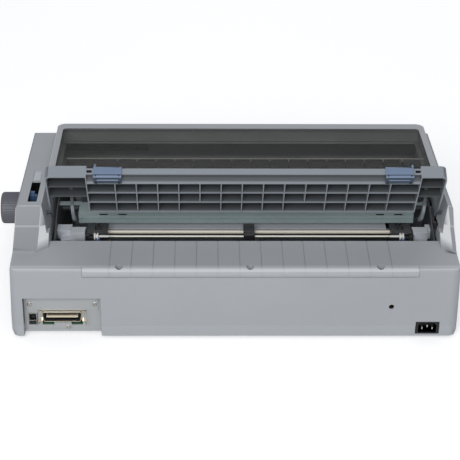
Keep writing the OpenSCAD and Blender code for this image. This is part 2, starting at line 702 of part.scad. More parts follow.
module tractor_body() difference() {
  union() {
    bx(-tractor_w / 2, tractor_w / 2, tractor_front, tractor_back, tractor_low, tractor_top);
    for (y = [tractor_front + 1.5, tractor_back - 5.5]) bx(tractor_w / 2 - 1, tractor_w / 2 + tractor_ear, y, y + 3.7,
      tractor_low + 10, tractor_top + 2.2);
    cyl_y(flap_pin, tractor_front + 2, tractor_back - 2.5, flap_x, flap_z);
    for (x = [-6.4, 4.4]) bx(x, x + 2, tractor_back - 1, lock_y + 2.4, lock_z - 3.4, lock_z + 3.4);
    cyl_x(lock_pin, -6, 6, lock_y, lock_z);
  }
  bx(-4.6, 4.6, tractor_front - 1, drive_y + 14, tractor_low - 1, tractor_top + 1);
  cyl_x(drive_d + 2 * run_fit, -tractor_w, tractor_w, drive_y, platen_z);
  cyl_x(rod_d + 2 * run_fit, -tractor_w, tractor_w, rod_y, rod_z);
}
module sprocket() difference() {
  union() {
    cyl_x(2 * sprocket_r, -4, 4, drive_y, platen_z);
    for (i = [0:7]) translate([0, drive_y, platen_z]) rotate([i * 45, 0, 0]) translate([0, 0, sprocket_r - 2])
      cylinder(h = pin_out + 2, d1 = 3.2, d2 = 2.2);
  }
  cyl_x(drive_d + 2 * run_fit, -5, 5, drive_y, platen_z);
}
module tractor_flap() difference() {
  union() {
    bx(-tractor_w / 2, tractor_w / 2, tractor_front + 5.8, tractor_back - 6.3, tractor_top + 0.3, tractor_top + 3);
    bx(tractor_w / 2 - 1, flap_x, tractor_front + 5.8, tractor_back - 6.3, tractor_top + 1.2, tractor_top + 3);
    cyl_y(4.2, tractor_front + 5.8, tractor_back - 6.3, flap_x, flap_z);
  }
  cyl_y(flap_pin + 2 * run_fit, tractor_front, tractor_back, flap_x, flap_z);
  bx(-4.6, 4.6, tractor_front - 1, drive_y + 14, tractor_top - 1, tractor_top + 4);
}
module lock_lever() difference() {
  union() {
    cyl_x(5.6, -4, 4, lock_y, lock_z);
    bx(-4, 4, lock_y + 0.6, lock_y + 2.8, lock_z, lock_z + 13);
    bx(-4, 4, lock_y + 0.6, lock_y + 6, lock_z + 11, lock_z + 13);
  }
  cyl_x(lock_pin + 2 * run_fit, -5, 5, lock_y, lock_z);
}
module at_right() mech() translate([right_tractor_x, 0, 0]) children();
module at_left() mech() translate([left_tractor_x, 0, 0]) mirror([1, 0, 0]) children();

module right_tractor() color([0.12, 0.12, 0.13]) at_right() tractor_body();
module left_tractor() color([0.12, 0.12, 0.13]) at_left() tractor_body();
module right_sprocket() color([0.15, 0.15, 0.16]) at_right() sprocket();
module left_sprocket() color([0.15, 0.15, 0.16]) at_left() sprocket();
module right_tractor_cover() color([0.16, 0.16, 0.17]) at_right() tractor_flap();
module left_tractor_cover() color([0.16, 0.16, 0.17]) at_left() tractor_flap();
module right_lock_lever() color([0.35, 0.45, 0.65]) at_right() lock_lever();
module left_lock_lever() color([0.35, 0.45, 0.65]) at_left() lock_lever();

module paper_support() color([0.2, 0.22, 0.22]) mech() translate([support_x, 0, 0]) difference() {
  union() {
    bx(-7.7, 7.7, drive_y - 8, rod_y - 4, platen_z - 8, tractor_top + 1);
    bx(-7.7, 7.7, rod_y - 5, rod_y + 5, rod_z - 6, rod_z + 4);
    cyl_z(7, rod_z - 12, rod_z - 5, 0, rod_y);
  }
  cyl_x(drive_d + 2 * run_fit, -9, 9, drive_y, platen_z);
  cyl_x(rod_d + 2 * run_fit, -9, 9, rod_y, rod_z);
}

module tractor_bracket(inner) difference() {
  union() {
    bx(inner, inner + 20, rod_y - 14.5, rod_y + 3, platen_z - 12, tractor_top + 3);
    bx(inner, inner + 20, drive_y - 7, rod_y - 14, platen_z - 10, tractor_top - 3.5);
    bx(inner + 19.5, frame_h, drive_y - 6, drive_y + 10, platen_z - 6, tractor_top + 1);
    bx(inner + 19.5, frame_h - 6, drive_y + 9.5, rod_y + 2.5, platen_z - 13, platen_z);
  }
  cyl_x(drive_d + 2 * run_fit, inner - 1, frame_h + 1, drive_y, platen_z);
  cyl_x(rod_d + 2 * run_fit, inner - 1, inner + 14, rod_y, rod_z);
}
module tractor_brackets() color([0.62, 0.64, 0.67]) mech() {
  tractor_bracket(bracket_right);
  mirror([1, 0, 0]) tractor_bracket(bracket_left);
}

// Paper path plates

plate_left = frame_h - 70;
plate_right = -frame_h + 59;
module paper_plate() color([0.5, 0.53, 0.56]) mech() {
  bx(plate_right, plate_left, platen_y + 41.5, platen_y + 43, 82, 99);
  bx(plate_right, plate_left, platen_y + 42, platen_y + 61.5, 97.5, 99);
  bx(plate_right, plate_left, platen_y + 21, platen_y + 43, 82, 83.5);
  bx(plate_left - 1, frame_h, platen_y + 33, platen_y + 43, 82, 84.5);
  bx(-frame_h, plate_right + 1, platen_y + 33, platen_y + 43, 82, 84.5);
}
guide_ribs = 19;
guide_rib_x = bracket_right - 35.4;
guide_rib_pitch = (guide_rib_x + bracket_left - 19.4) / (guide_ribs - 1);
module platen_guide() color([0.42, 0.47, 0.46]) mech() difference() {
  union() {
    bx(-bracket_left - 4, bracket_right + 11, drive_y - 12.5, drive_y - 11, 109.5, 126);
    bx(-bracket_left - 4, bracket_right + 11, platen_y + 29, drive_y - 11, 124.4, 126);
    bx(-frame_h, frame_h, platen_y + 29, platen_y + 39, 124.4, 126);
    for (i = [0:guide_ribs - 1]) translate([guide_rib_x - i * guide_rib_pitch, 0, 0])
      bx(0, 1, drive_y - 11.5, drive_y - 10.4, 110, 118);
    bx(-bracket_left - 4, bracket_right + 11, drive_y - 11.5, drive_y - 10, 117.6, 119);
  }
  for (x = [bracket_right - 30.2, bracket_right - 56.8, -bracket_left + 38, -bracket_left + 11.7])
    bx(x, x + 11.6, drive_y - 14, drive_y - 9, 121.6, 123.8);
}
bar_left = frame_h - 48;
bar_right = -frame_h + 18;
bar_ribs = 16;
bar_y = platen_y - 32;
module tear_off_bar() color([0.09, 0.09, 0.09]) mech() {
  bx(bar_right, bar_left, bar_y - 19, bar_y, 147, 149.5);
  for (i = [0:bar_ribs - 1]) translate([bar_right + 6.6 + i * (bar_left - bar_right - 38) / (bar_ribs - 1), 0, 0])
    bx(0, 1.4, bar_y - 19, bar_y, 149, 151.5);
  bx(-frame_x, frame_x, bar_y - 13, bar_y - 7, 143, 147.5);
  both() bx(frame_h - 2, frame_x, bar_y - 13, bar_y - 7, 132, 144);
}

// Raised paper guide

module on_guide() mech() translate([0, guide_foot_y, guide_foot_z]) rotate([guide_lean, 0, 0]) children();
// The hinge axis in the guide's own frame
hinge_u = (guide_y - guide_foot_y) * cos(guide_lean) + (guide_z - guide_foot_z) * sin(guide_lean);
hinge_n = (guide_z - guide_foot_z) * cos(guide_lean) - (guide_y - guide_foot_y) * sin(guide_lean);
module guide_cheek(x0, x1) along_x([[44, 0], [44, guide_t], [0, guide_t], [hinge_u - 3, hinge_n + 5],
  [hinge_u - 6, hinge_n], [hinge_u - 3, hinge_n - 5], [0, 2], [30, 0]], x0, x1);

// Hollow block at one end of the guide, with its outer top corner rounded
module end_block(x0, x1) {
  difference() {
    block_form(x0, x1, block_r, block_low, 0, guide_t);
    block_form(x0 + rib_t, x1 - 2, block_r - 2, block_low - 1, -1, guide_t - 2);
  }
  for (u = [block_low, block_rib]) bx(x0, x1 - 1, u, u + rib_t, 3, guide_t - 1);
  bx(x0 - 1, x0 + 12, 0, 36, guide_t - 2, guide_t);
}
module block_form(x0, x1, r, u0, n0, n1) {
  top = guide_len - block_r + r;
  bx(x0, x1 - r, u0, top, n0, n1);
  bx(x0, x1, u0, top - r, n0, n1);
  cyl_z(2 * r, n0, n1, x1 - r, top - r);
}
module guide_rail() difference() {
  bx(-mid_right - 1, mid_left + 1, rail_u, guide_len, rail_n0, rail_n1);
  for (x = [mid_left - 7.5, -mid_right + 0.5]) bx(x, x + 7, rail_u - 1, guide_len + 1, rail_n0 + 2.4, rail_n1 - 2.4);
}
rib_x = mid_left - 37.2;
rib_pitch = (rib_x + mid_right - 38.75) / (rib_count - 1);
module paper_guide() color([0.45, 0.47, 0.51]) {
  on_guide() {
    bx(-mid_right, mid_left, 0, rail_u + 1, guide_t - 2, guide_t);
    bx(-mid_right, mid_left, rail_u, rail_u + 1.4, rail_n1 - 1, guide_t - 1);
    for (u = [0, 23.4, 46.6, 69.4]) bx(-mid_right, mid_left, u, u + rib_t, 0, guide_t - 1);
    along_x([[69.6, 0], [rail_u + 1, rail_n0 - 0.4], [rail_u + 1, rail_n0 + 1.4], [69.6, 1.8]], -mid_right, mid_left);
    guide_rail();
    for (i = [0:rib_count - 1]) translate([rib_x - i * rib_pitch - rib_t / 2, 0, 0])
      bx(0, rib_t, (i == 4 || i == 9) ? 24 : 0, 70, 0, guide_t - 1);
    bx(mid_left - 0.5, mid_left + rib_t, 0, 36, 0, guide_t);
    bx(-mid_right - rib_t, -mid_right + 0.5, 0, 36, 0, guide_t);
    end_block(mid_left, guide_left);
    mirror([1, 0, 0]) end_block(mid_right, guide_right);
    guide_cheek(guide_left - 2, guide_left);
    guide_cheek(-guide_right, -guide_right + 2);
  }
  mech() cyl_x(hinge_d, guide_left - 1, inner_half(guide_z) + wall - 0.5, guide_y, guide_z);
  mech() cyl_x(hinge_d, -inner_half(guide_z) - wall + 0.5, -guide_right + 1, guide_y, guide_z);
  mech() guide_arm(guide_left - 33.2);
  mech() guide_arm(-guide_right + 19.5);
}
// Curved strap from the underside of an end block down towards the hinge
arm_r = 61;
arm_w = 4;
arm_y = guide_foot_y - 54;
arm_z = guide_foot_z + 26;
function arm_curve(r) = [for (i = [0:8]) let (a = 14 - i * 9.5) [arm_y + r * cos(a), arm_z + r * sin(a)]];
module guide_arm(x) along_x(concat(arm_curve(arm_r), [for (i = [8:-1:0]) arm_curve(arm_r - 6)[i]]), x, x + arm_w);

edge_left_x = mid_left - 9.4 - edge_w;
edge_right_x = -mid_right + 9.9;
module edge_guide(x0, fence) color([0.38, 0.45, 0.58]) on_guide() {
  along_x([[73, -1.2], [86.6, -1.2], [88.4, 1], [88.4, 14.8], [86.8, 16.4], [guide_len - 4, 16.4],
    [guide_len - 4, rail_n1 + 0.4], [guide_len + 0.4, rail_n1 + 0.4], [guide_len + 0.4, 0.9], [73, 0.9]], x0, x0 + edge_w);
  bx(fence, fence + 2.6, guide_len - 4, guide_len + 2.4, rail_n1 + 0.4, guide_t + 2);
}
module edge_guide_left() edge_guide(edge_right_x, edge_right_x);
module edge_guide_right() edge_guide(edge_left_x, edge_left_x + edge_w - 3.2);

// Levers

module release_lever() color([0.25, 0.36, 0.5]) translate([0, lever_y, lever_z]) rotate([-lever_rest, 0, 0]) difference() {
  union() {
    cyl_x(14, lever_x - 5, lever_x + 5, 0, 0);
    bx(lever_x - 3, lever_x + 3, -4, 4, 5, lever_r - 5);
    bx(lever_x, lever_x + lever_w, -9, 6, lever_r - 12, lever_r - 3);
    bx(lever_x, lever_x + lever_w, -3, 2, lever_r - 4, lever_r);
  }
  cyl_x(stub_d + 2 * run_fit, lever_x - 6, lever_x + 6, 0, 0);
}
module gap_lever() color([0.25, 0.36, 0.5]) mech() translate([0, gap_y, gap_z]) difference() {
  union() {
    cyl_x(13, -frame_h + 4, -frame_h + 8, 0, 0);
    bx(-frame_h + 4, -frame_h + 8, -3, 3, 5, 33);
  }
  cyl_x(stub_d + 2 * run_fit, -frame_h + 3, -frame_h + 9, 0, 0);
}

// Carriage, print head, ribbon and belt drive

head_w = 44;
head_nose_y = platen_y - platen_d / 2 - 2.2;

module carriage() color([0.16, 0.16, 0.17]) translate([carriage_x, 0, 0]) difference() {
  union() {
    bx(-carriage_w / 2, carriage_w / 2, slide_y - 18, slide_y + 22, slide_z - 12, slide_z + 12);
    bx(-15, 15, rail_y - 7, slide_y - 17, rail_top + 2, rail_top + 9);
    bx(-15, 15, rail_y + 0.3, rail_y + 3, rail_top - 7, rail_top + 3);
    bx(-15, 15, rail_y - 7, rail_y - frame_t - 0.3, rail_top - 7, rail_top + 3);
    for (y = [belt_y + pulley_r + belt_t + gap, belt_y + pulley_r - gap - 3]) bx(-10, 10, y, y + 3, belt_z, rail_top + 3);
  }
  cyl_x(slide_d + 2 * run_fit, -carriage_w, carriage_w, slide_y, slide_z);
}
module print_head() color([0.25, 0.25, 0.27]) translate([carriage_x, 0, 0]) {
  bx(-head_w / 2, head_w / 2, slide_y + 2, slide_y + 32, slide_z + 12, slide_z + 46);
  for (i = [0:5]) bx(-head_w / 2 - 3, head_w / 2 + 3, slide_y + 4 + i * 4.6, slide_y + 6 + i * 4.6, slide_z + 18, slide_z + 42);
  bx(-9, 9, slide_y + 30, head_nose_y, platen_z - 9, platen_z + 9);
}
module carriage_shaft() color([0.78, 0.79, 0.8]) mech()
  cyl_x(slide_d, -frame_x - 1.5, frame_x + 1.5, slide_y, slide_z);
module ribbon_cartridge() color([0.1, 0.1, 0.1]) mech() {
  difference() {
    bx(-cart_h, cart_h, slide_y - 66, slide_y - 12, cart_z, cart_z + 24);
    bx(-cart_h + 16, cart_h - 16, slide_y - 14, slide_y - 11, cart_z - 1, cart_z + 25);
  }
  both() bx(cart_h - 13, cart_h, slide_y - 13, platen_y - platen_d / 2 + 1, cart_z + 2, cart_z + 20);
  bx(-cart_h + 12, cart_h - 12, platen_y - platen_d / 2 - 1.3, platen_y - platen_d / 2 - 0.9, platen_z - 6.5, platen_z + 6.5);
  cyl_z(20, cart_z + 23, cart_z + 30, cart_h - 44, slide_y - 40);
}
module belt_loop(r) {
  bx(-pulley_x, pulley_x, belt_y - r, belt_y + r, belt_z, belt_z + belt_h);
  both() cyl_z(2 * r, belt_z, belt_z + belt_h, pulley_x, belt_y);
}
module timing_belt() color([0.08, 0.08, 0.08]) mech() difference() {
  belt_loop(pulley_r + belt_t);
  translate([0, 0, -1]) {
    belt_loop(pulley_r);
    translate([0, 0, 2]) belt_loop(pulley_r);
  }
}
module pulley() {
  cylinder(h = belt_h + 1.6, r = pulley_r - 0.1);
  cylinder(h = 0.6, r = pulley_r + belt_t + 0.3);
  translate([0, 0, belt_h + 1.4]) cylinder(h = 1, r = pulley_r + belt_t + 0.3);
}
module drive_pulley() color([0.75, 0.72, 0.6]) translate([mech_x - pulley_x, belt_y, 0]) {
  translate([0, 0, belt_z - 0.8]) pulley();
  cyl_z(stub_d - 1, belt_z - 20, belt_z + 10, 0, 0);
}
module idler_pulley() color([0.75, 0.72, 0.6]) translate([mech_x + pulley_x, belt_y, 0]) difference() {
  translate([0, 0, belt_z - 0.8]) pulley();
  cyl_z(stub_d - 1 + 2 * run_fit, belt_z - 5, belt_z + 12, 0, 0);
}
module carriage_motor() color([0.3, 0.3, 0.31]) translate([mech_x - pulley_x, belt_y, 0]) difference() {
  union() {
    cyl_z(27, plate_top, belt_z - 6, 0, 0);
    cyl_z(12, belt_z - 7, belt_z - 3, 0, 0);
  }
  cyl_z(stub_d - 1 + 2 * run_fit, belt_z - 21, belt_z, 0, 0);
}

// Boards, sockets and inlet

module main_board() color([0.12, 0.35, 0.2]) {
  bx(bay_x - 126.6, side - 15, board_y, bay_y - 2.4, board_z, board_z + board_t);
  translate([bay_x - 116.6, board_y, board_z + board_t]) {
    bx(10, 40, 8, 38, 0, 4);
    for (i = [0:2]) translate([48 + i * 15, 10, 0]) cube([12, 24, 3]);
    for (i = [0:1]) cyl_z(10, 0, 14, 0, 14 + i * 16);
  }
}
module usb_socket() color([0.7, 0.71, 0.72]) difference() {
  bx(usb_x - 6, usb_x + 6, bay_y - 15, bay_y + 0.8, board_z + board_t, usb_z + 5.6);
  bx(usb_x - 4.4, usb_x + 4.4, bay_y - 11, bay_y + 2, usb_z - 4, usb_z + 4);
}
module parallel_socket() color([0.68, 0.68, 0.68]) {
  difference() {
    bx(socket_x - 27.2, socket_x + 27.2, bay_y - 14, bay_y + 5, socket_z - 7.7, socket_z + 7.7);
    bx(socket_x - 24.5, socket_x + 24.5, bay_y - 4, bay_y + 6, socket_z - 5, socket_z + 5);
  }
  bx(socket_x - 27.2, socket_x + 27.2, bay_y - 14, bay_y - 4, board_z + board_t, socket_z - 7);
  bx(socket_x - 22, socket_x + 22, bay_y - 5, bay_y + 3.6, socket_z - 1.6, socket_z + 1.6);
  for (s = [-1, 1], z = [socket_z - 7.7, socket_z + 6.5]) difference() {
    bx(socket_x + s * 29.8 - 3, socket_x + s * 29.8 + 3, bay_y, bay_y + 5, z, z + 1.2);
    cyl_z(1.2 + 2 * run_fit, z - 1, z + 3, socket_x + s * 30.6, bay_y + 2.6);
  }
}
// Closed loop: the pivot wire, two flat arms and the cross bar
module wire_clip(s) color([0.8, 0.8, 0.8]) translate([socket_x + s * 30.6, bay_y + 2.6, 0]) {
  cyl_z(1.2, socket_z - 9.6, socket_z + 9.6, 0, 0);
  for (z = [socket_z - 9.6, socket_z + 8.4]) translate([0, 0, z]) rotate([0, 0, atan2(8, s * 3)])
    bx(0, 8.9, -0.5, 0.5, 0, 1.2);
  translate([s * 3, 8, 0]) rotate([0, 0, atan2(8, s * 3)]) bx(-0.6, 0.6, -0.5, 0.5, socket_z - 9, socket_z + 9);
}
module right_wire_clip() wire_clip(1);
module left_wire_clip() wire_clip(-1);

plate_y = bay_y - 2.2;
blank_top = bay_top - 1.2;
blank_x = [bay_x - bay_w / 2 + 4.3, bay_x + bay_w / 2 - 3.5];
blank_screws = [blank_x[0] + 5, blank_x[1] - 4.4];
blank_screw_z = 47.6;
ground_x = bay_x - 6.6;
ground_z = 13.6;

module interface_plate() color([0.64, 0.66, 0.68]) difference() {
  union() {
    bx(bay_x - bay_w / 2 - wall, bay_x + bay_w / 2 + wall, plate_y, plate_y + 2, floor_z + 0.2, bay_top + wall);
    bx(ground_x - 4.5, ground_x + 19, plate_y + 1, plate_y + 3.4, ground_z - 4.6, ground_z + 5);
  }
  bx(usb_x - 6.3, usb_x + 6.3, plate_y - 1, plate_y + 4, board_z, usb_z + 5.9);
  bx(socket_x - 27.5, socket_x + 27.5, plate_y - 1, plate_y + 2.8, board_z, socket_z + 8);
  for (x = blank_screws) cyl_y(3.4, plate_y - 1, plate_y + 3, x, blank_screw_z);
  cyl_y(3.4, plate_y - 1, plate_y + 5, ground_x, ground_z - 2);
}
module blank_plate() color([0.72, 0.73, 0.73]) difference() {
  bx(blank_x[0], blank_x[1], plate_y + 2, plate_y + 3.2, socket_z + 8.2, blank_top);
  for (x = blank_screws) cyl_y(3.4, plate_y, plate_y + 5, x, blank_screw_z);
}

module power_supply() color([0.35, 0.32, 0.2]) translate([-side + 15, board_y, board_z]) {
  cube([142, 42, board_t]);
  translate([0, 0, board_t]) {
    bx(4, 40, 2, 36, 0, 32);
    for (i = [0:1]) cyl_z(20, 0, 34, 58, 12 + i * 22);
    for (i = [0:3]) translate([76 + i * 5, 4, 1]) cube([2.5, 34, 27]);
    bx(75, 95, 4, 38, 0, 2);
    bx(102, 134, 6, 34, 0, 22);
  }
}
module ac_inlet() color([0.08, 0.08, 0.08]) translate([inlet_x, 0, inlet_z]) {
  difference() {
    union() {
      bx(-inlet_w / 2 + 0.15, inlet_w / 2 - 0.15, rear - 3, rear - 0.2, -inlet_h / 2 + 0.15, inlet_h / 2 - 0.15);
      bx(-14, 14, rear - 25, rear - 2, -inlet_h / 2 + 0.6, inlet_h / 2 - 0.6);
    }
    bx(-12.3, 12.3, rear - 18, rear + 1, -7.6, 7.6);
  }
  for (p = [[-7, -1.5], [0, 1.8], [7, -1.5]]) bx(p[0] - 1, p[0] + 1, rear - 19, rear - 5, p[1] - 2, p[1] + 2);
}

module pan_screw(d) {
  cylinder(h = 1.6, d = d);
  translate([0, 0, -5]) cylinder(h = 5.5, d = 3);
}
module screws() color([0.75, 0.75, 0.76]) {
  for (x = blank_screws) translate([x, plate_y + 3.2, blank_screw_z]) rotate([-90, 0, 0]) pan_screw(6.6);
  translate([ground_x, plate_y + 3.4, ground_z - 2]) rotate([-90, 0, 0]) pan_screw(5.6);
  for (x = deck_screw_x) translate([x, screw_y, recess_z]) pan_screw(7.6);
}

placed() lower_case();
placed() upper_case();
placed() rubber_feet();
placed() top_cover();
placed() cover_window();
placed() tear_off_bar();
placed() paper_guide();
placed() edge_guide_left();
placed() edge_guide_right();
placed() front_cover();
placed() control_panel();
placed() pause_button();
placed() feed_button();
placed() load_button();
placed() power_switch();
placed() chassis_plate();
placed() left_side_frame();
placed() right_side_frame();
placed() platen_roller();
placed() platen_shaft();
placed() platen_gear();
placed() platen_knob();
placed() idler_gear();
placed() feed_motor();
placed() motor_pinion();
placed() tractor_shaft();
placed() tractor_rod();
placed() left_tractor();
placed() right_tractor();
placed() left_sprocket();
placed() right_sprocket();
placed() left_tractor_cover();
placed() right_tractor_cover();
placed() left_lock_lever();
placed() right_lock_lever();
placed() paper_support();
placed() paper_plate();
placed() platen_guide();
placed() tractor_brackets();
placed() release_lever();
placed() gap_lever();
placed() carriage();
placed() print_head();
placed() carriage_shaft();
placed() ribbon_cartridge();
placed() timing_belt();
placed() drive_pulley();
placed() idler_pulley();
placed() carriage_motor();
placed() main_board();
placed() usb_socket();
placed() parallel_socket();
placed() left_wire_clip();
placed() right_wire_clip();
placed() interface_plate();
placed() blank_plate();
placed() power_supply();
placed() ac_inlet();
placed() screws();
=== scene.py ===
import json
import math
import bmesh
import bpy
from mathutils import Matrix, Vector


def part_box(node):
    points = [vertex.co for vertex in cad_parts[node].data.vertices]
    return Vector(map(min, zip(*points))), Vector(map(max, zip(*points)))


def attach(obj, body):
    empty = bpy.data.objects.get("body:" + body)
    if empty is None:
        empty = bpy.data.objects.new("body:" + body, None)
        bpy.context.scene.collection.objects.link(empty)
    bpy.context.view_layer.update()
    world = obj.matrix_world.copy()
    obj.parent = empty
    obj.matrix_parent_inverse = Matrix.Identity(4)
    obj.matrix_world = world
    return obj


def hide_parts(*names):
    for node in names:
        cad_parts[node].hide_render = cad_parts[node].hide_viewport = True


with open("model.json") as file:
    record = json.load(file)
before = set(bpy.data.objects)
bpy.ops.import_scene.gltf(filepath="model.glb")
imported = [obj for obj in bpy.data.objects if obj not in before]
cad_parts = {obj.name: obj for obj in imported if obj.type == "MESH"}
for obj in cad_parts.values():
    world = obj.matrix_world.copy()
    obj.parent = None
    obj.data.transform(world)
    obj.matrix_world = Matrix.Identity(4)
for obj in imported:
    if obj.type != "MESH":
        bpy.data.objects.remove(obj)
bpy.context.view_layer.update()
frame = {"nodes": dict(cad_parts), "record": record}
NODES = frame["nodes"]
BODY = {n: b for b, members in frame["record"]["behaviour"]["bodies"].items() for n in members}
SLOT = {s["node"]: s["material_slot"] for s in frame["record"]["subparts"]}
MM = 0.001
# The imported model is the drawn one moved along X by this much, in mm
SHIFT = -15.0857
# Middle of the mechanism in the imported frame, in mm
MECH = -14 + SHIFT
# Lean of the raised guide from the horizontal, and the place of its hinge in mm
LEAN = math.radians(59.6)
HINGE_Y, HINGE_Z = 114, 150


# Materials

def new_material(name):
    m = bpy.data.materials.new(name)
    m.use_nodes = True
    nt = m.node_tree
    bsdf = nt.nodes["Principled BSDF"]
    return m, nt, bsdf


def noise(nt, scale, detail=2.0, rough=0.5, stretch=None):
    tc = nt.nodes.new("ShaderNodeTexCoord")
    n = nt.nodes.new("ShaderNodeTexNoise")
    n.inputs["Scale"].default_value = scale
    n.inputs["Detail"].default_value = detail
    n.inputs["Roughness"].default_value = rough
    if stretch:
        mp = nt.nodes.new("ShaderNodeMapping")
        mp.inputs["Scale"].default_value = stretch
        nt.links.new(tc.outputs["Object"], mp.inputs["Vector"])
        nt.links.new(mp.outputs["Vector"], n.inputs["Vector"])
    else:
        nt.links.new(tc.outputs["Object"], n.inputs["Vector"])
    return n.outputs["Fac"]


def ranged(nt, value, lo, hi, start=0.3, end=0.7):
    r = nt.nodes.new("ShaderNodeMapRange")
    r.inputs["From Min"].default_value = start
    r.inputs["From Max"].default_value = end
    r.inputs["To Min"].default_value = lo
    r.inputs["To Max"].default_value = hi
    nt.links.new(value, r.inputs["Value"])
    return r.outputs["Result"]


def mixed(nt, fac, a, b):
    mx = nt.nodes.new("ShaderNodeMix")
    mx.data_type = "RGBA"
    mx.inputs["A"].default_value = (*a, 1)
    mx.inputs["B"].default_value = (*b, 1)
    nt.links.new(fac, mx.inputs["Factor"])
    return mx.outputs["Result"]


def facing(nt, axis, flat=False):
    """How far a surface, or its flat face, looks along a world axis, from -1 to 1."""
    parts = nt.nodes.new("ShaderNodeSeparateXYZ")
    nt.links.new(nt.nodes.new("ShaderNodeNewGeometry").outputs["True Normal" if flat else "Normal"],
                 parts.inputs["Vector"])
    return parts.outputs[axis]


def stepped(nt, value, stops):
    """A grey level for each value from -1 to 1, given as (value, level) pairs."""
    ramp = nt.nodes.new("ShaderNodeValToRGB")
    steps = ramp.color_ramp.elements
    for k, (at, level) in enumerate(stops):
        e = steps[k] if k < 2 else steps.new(0.5 + at / 2)
        e.position, e.color = 0.5 + at / 2, (level, level, level, 1)
    nt.links.new(ranged(nt, value, 0, 1, -1, 1), ramp.inputs["Fac"])
    return ramp.outputs["Color"]


def shaded(nt, color, shade):
    mx = nt.nodes.new("ShaderNodeMix")
    mx.data_type, mx.blend_type = "RGBA", "MULTIPLY"
    mx.inputs["Factor"].default_value = 1
    nt.links.new(color, mx.inputs["A"])
    nt.links.new(shade, mx.inputs["B"])
    return mx.outputs["Result"]


def joined(nt, operation, a, b):
    """Two values, or a value and a number, put through one sum."""
    m = nt.nodes.new("ShaderNodeMath")
    m.operation = operation
    for side, value in zip(m.inputs, (a, b)):
        if isinstance(value, (int, float)):
            side.default_value = value
        else:
            nt.links.new(value, side)
    return m.outputs[0]


def along(nt, direction, start=(0, 0, 0)):
    """How far a point of the mesh lies from start along a direction, in metres."""
    away = nt.nodes.new("ShaderNodeVectorMath")
    away.operation = "SUBTRACT"
    nt.links.new(nt.nodes.new("ShaderNodeTexCoord").outputs["Object"], away.inputs[0])
    away.inputs[1].default_value = start
    dot = nt.nodes.new("ShaderNodeVectorMath")
    dot.operation = "DOT_PRODUCT"
    nt.links.new(away.outputs["Vector"], dot.inputs[0])
    dot.inputs[1].default_value = direction
    return dot.outputs["Value"]


def between(nt, value, low, high, edge=0.0002):
    """One inside low to high, fading to nothing over edge at each end."""
    up = ranged(nt, value, 0, 1, low - edge, low)
    down = ranged(nt, value, 1, 0, high, high + edge)
    return joined(nt, "MULTIPLY", up, down)


def blended(nt, fac, tone, color):
    mx = nt.nodes.new("ShaderNodeMix")
    mx.data_type = "RGBA"
    mx.inputs["B"].default_value = (*color, 1)
    nt.links.new(fac, mx.inputs["Factor"])
    nt.links.new(tone, mx.inputs["A"])
    return mx.outputs["Result"]


def dimmed(nt, fac, tone, level):
    """The tone brought down to a share of itself where fac is one."""
    return shaded(nt, tone, ranged(nt, fac, 1, level, 0, 1))


def case_painted_light(nt, tone):
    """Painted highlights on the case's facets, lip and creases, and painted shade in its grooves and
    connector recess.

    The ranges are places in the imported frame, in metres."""
    groove_depth = (-0.0008, -0.0003)
    recess_x, recess_y, recess_z = (0.15, 0.28), (0.17, 0.1985), (0, 0.068)
    lip_y, lip_z, lip_highlight_tone = (0.189, 0.1905), (0.0966, 0.0976), (0.66, 0.675, 0.69)
    knee_width, brow_width = (-0.0007, 0.0007), (-0.0012, 0.0006)
    crease_z, crease_highlight_tone, facet_highlight_tone = (0.132, 0.134), (0.62, 0.63, 0.64), (0.70, 0.71, 0.72)
    deep = along(nt, (0, math.sin(DECK_TILT), math.cos(DECK_TILT)), (0, 0.2, REAR_H * MM))
    y, z = along(nt, (0, 1, 0)), along(nt, (0, 0, 1))
    up = facing(nt, "Z")
    # Painted shade on the floors of the deck grooves
    groove = joined(nt, "MULTIPLY", between(nt, deep, *groove_depth), ranged(nt, up, 0, 1, 0.9, 0.97))
    tone = dimmed(nt, groove, tone, 0.8)
    # Painted shade in the recess of the connectors
    recess = joined(nt, "MULTIPLY", between(nt, y, *recess_y), between(nt, z, *recess_z))
    recess = joined(nt, "MULTIPLY", recess, between(nt, along(nt, (1, 0, 0)), *recess_x))
    tone = dimmed(nt, recess, tone, 0.25)
    # Painted highlight on the rounded rear lip, by how far it looks up
    lip = joined(nt, "MULTIPLY", ranged(nt, y, 0, 1, *lip_y), ranged(nt, z, 0, 1, *lip_z))
    tone = blended(nt, joined(nt, "MULTIPLY", lip, stepped(nt, up, LIP_SHADE)), tone, lip_highlight_tone)
    # Painted highlight lines along the shoulders' knee and brow creases
    crease = joined(nt, "ADD", between(nt, joined(nt, "SUBTRACT", y, KNEE_Y * MM), *knee_width),
                    between(nt, joined(nt, "SUBTRACT", y, BROW_Y * MM), *brow_width))
    crease = joined(nt, "MULTIPLY", crease, ranged(nt, up, 0, 1, 0.2, 0.4))
    crease = joined(nt, "MULTIPLY", crease, ranged(nt, z, 0, 1, *crease_z))
    tone = blended(nt, joined(nt, "MULTIPLY", crease, 0.35), tone, crease_highlight_tone)
    # Painted highlight on the shoulders' inner facets, by which way they face
    across = stepped(nt, facing(nt, "X", True), FACET_HIGHLIGHT_ACROSS)
    facet = joined(nt, "MULTIPLY", across, stepped(nt, facing(nt, "Z", True), FACET_HIGHLIGHT_UP))
    facet = joined(nt, "MULTIPLY", facet, ranged(nt, deep, 0, 1, 0.0005, 0.009))
    return blended(nt, facet, tone, facet_highlight_tone)


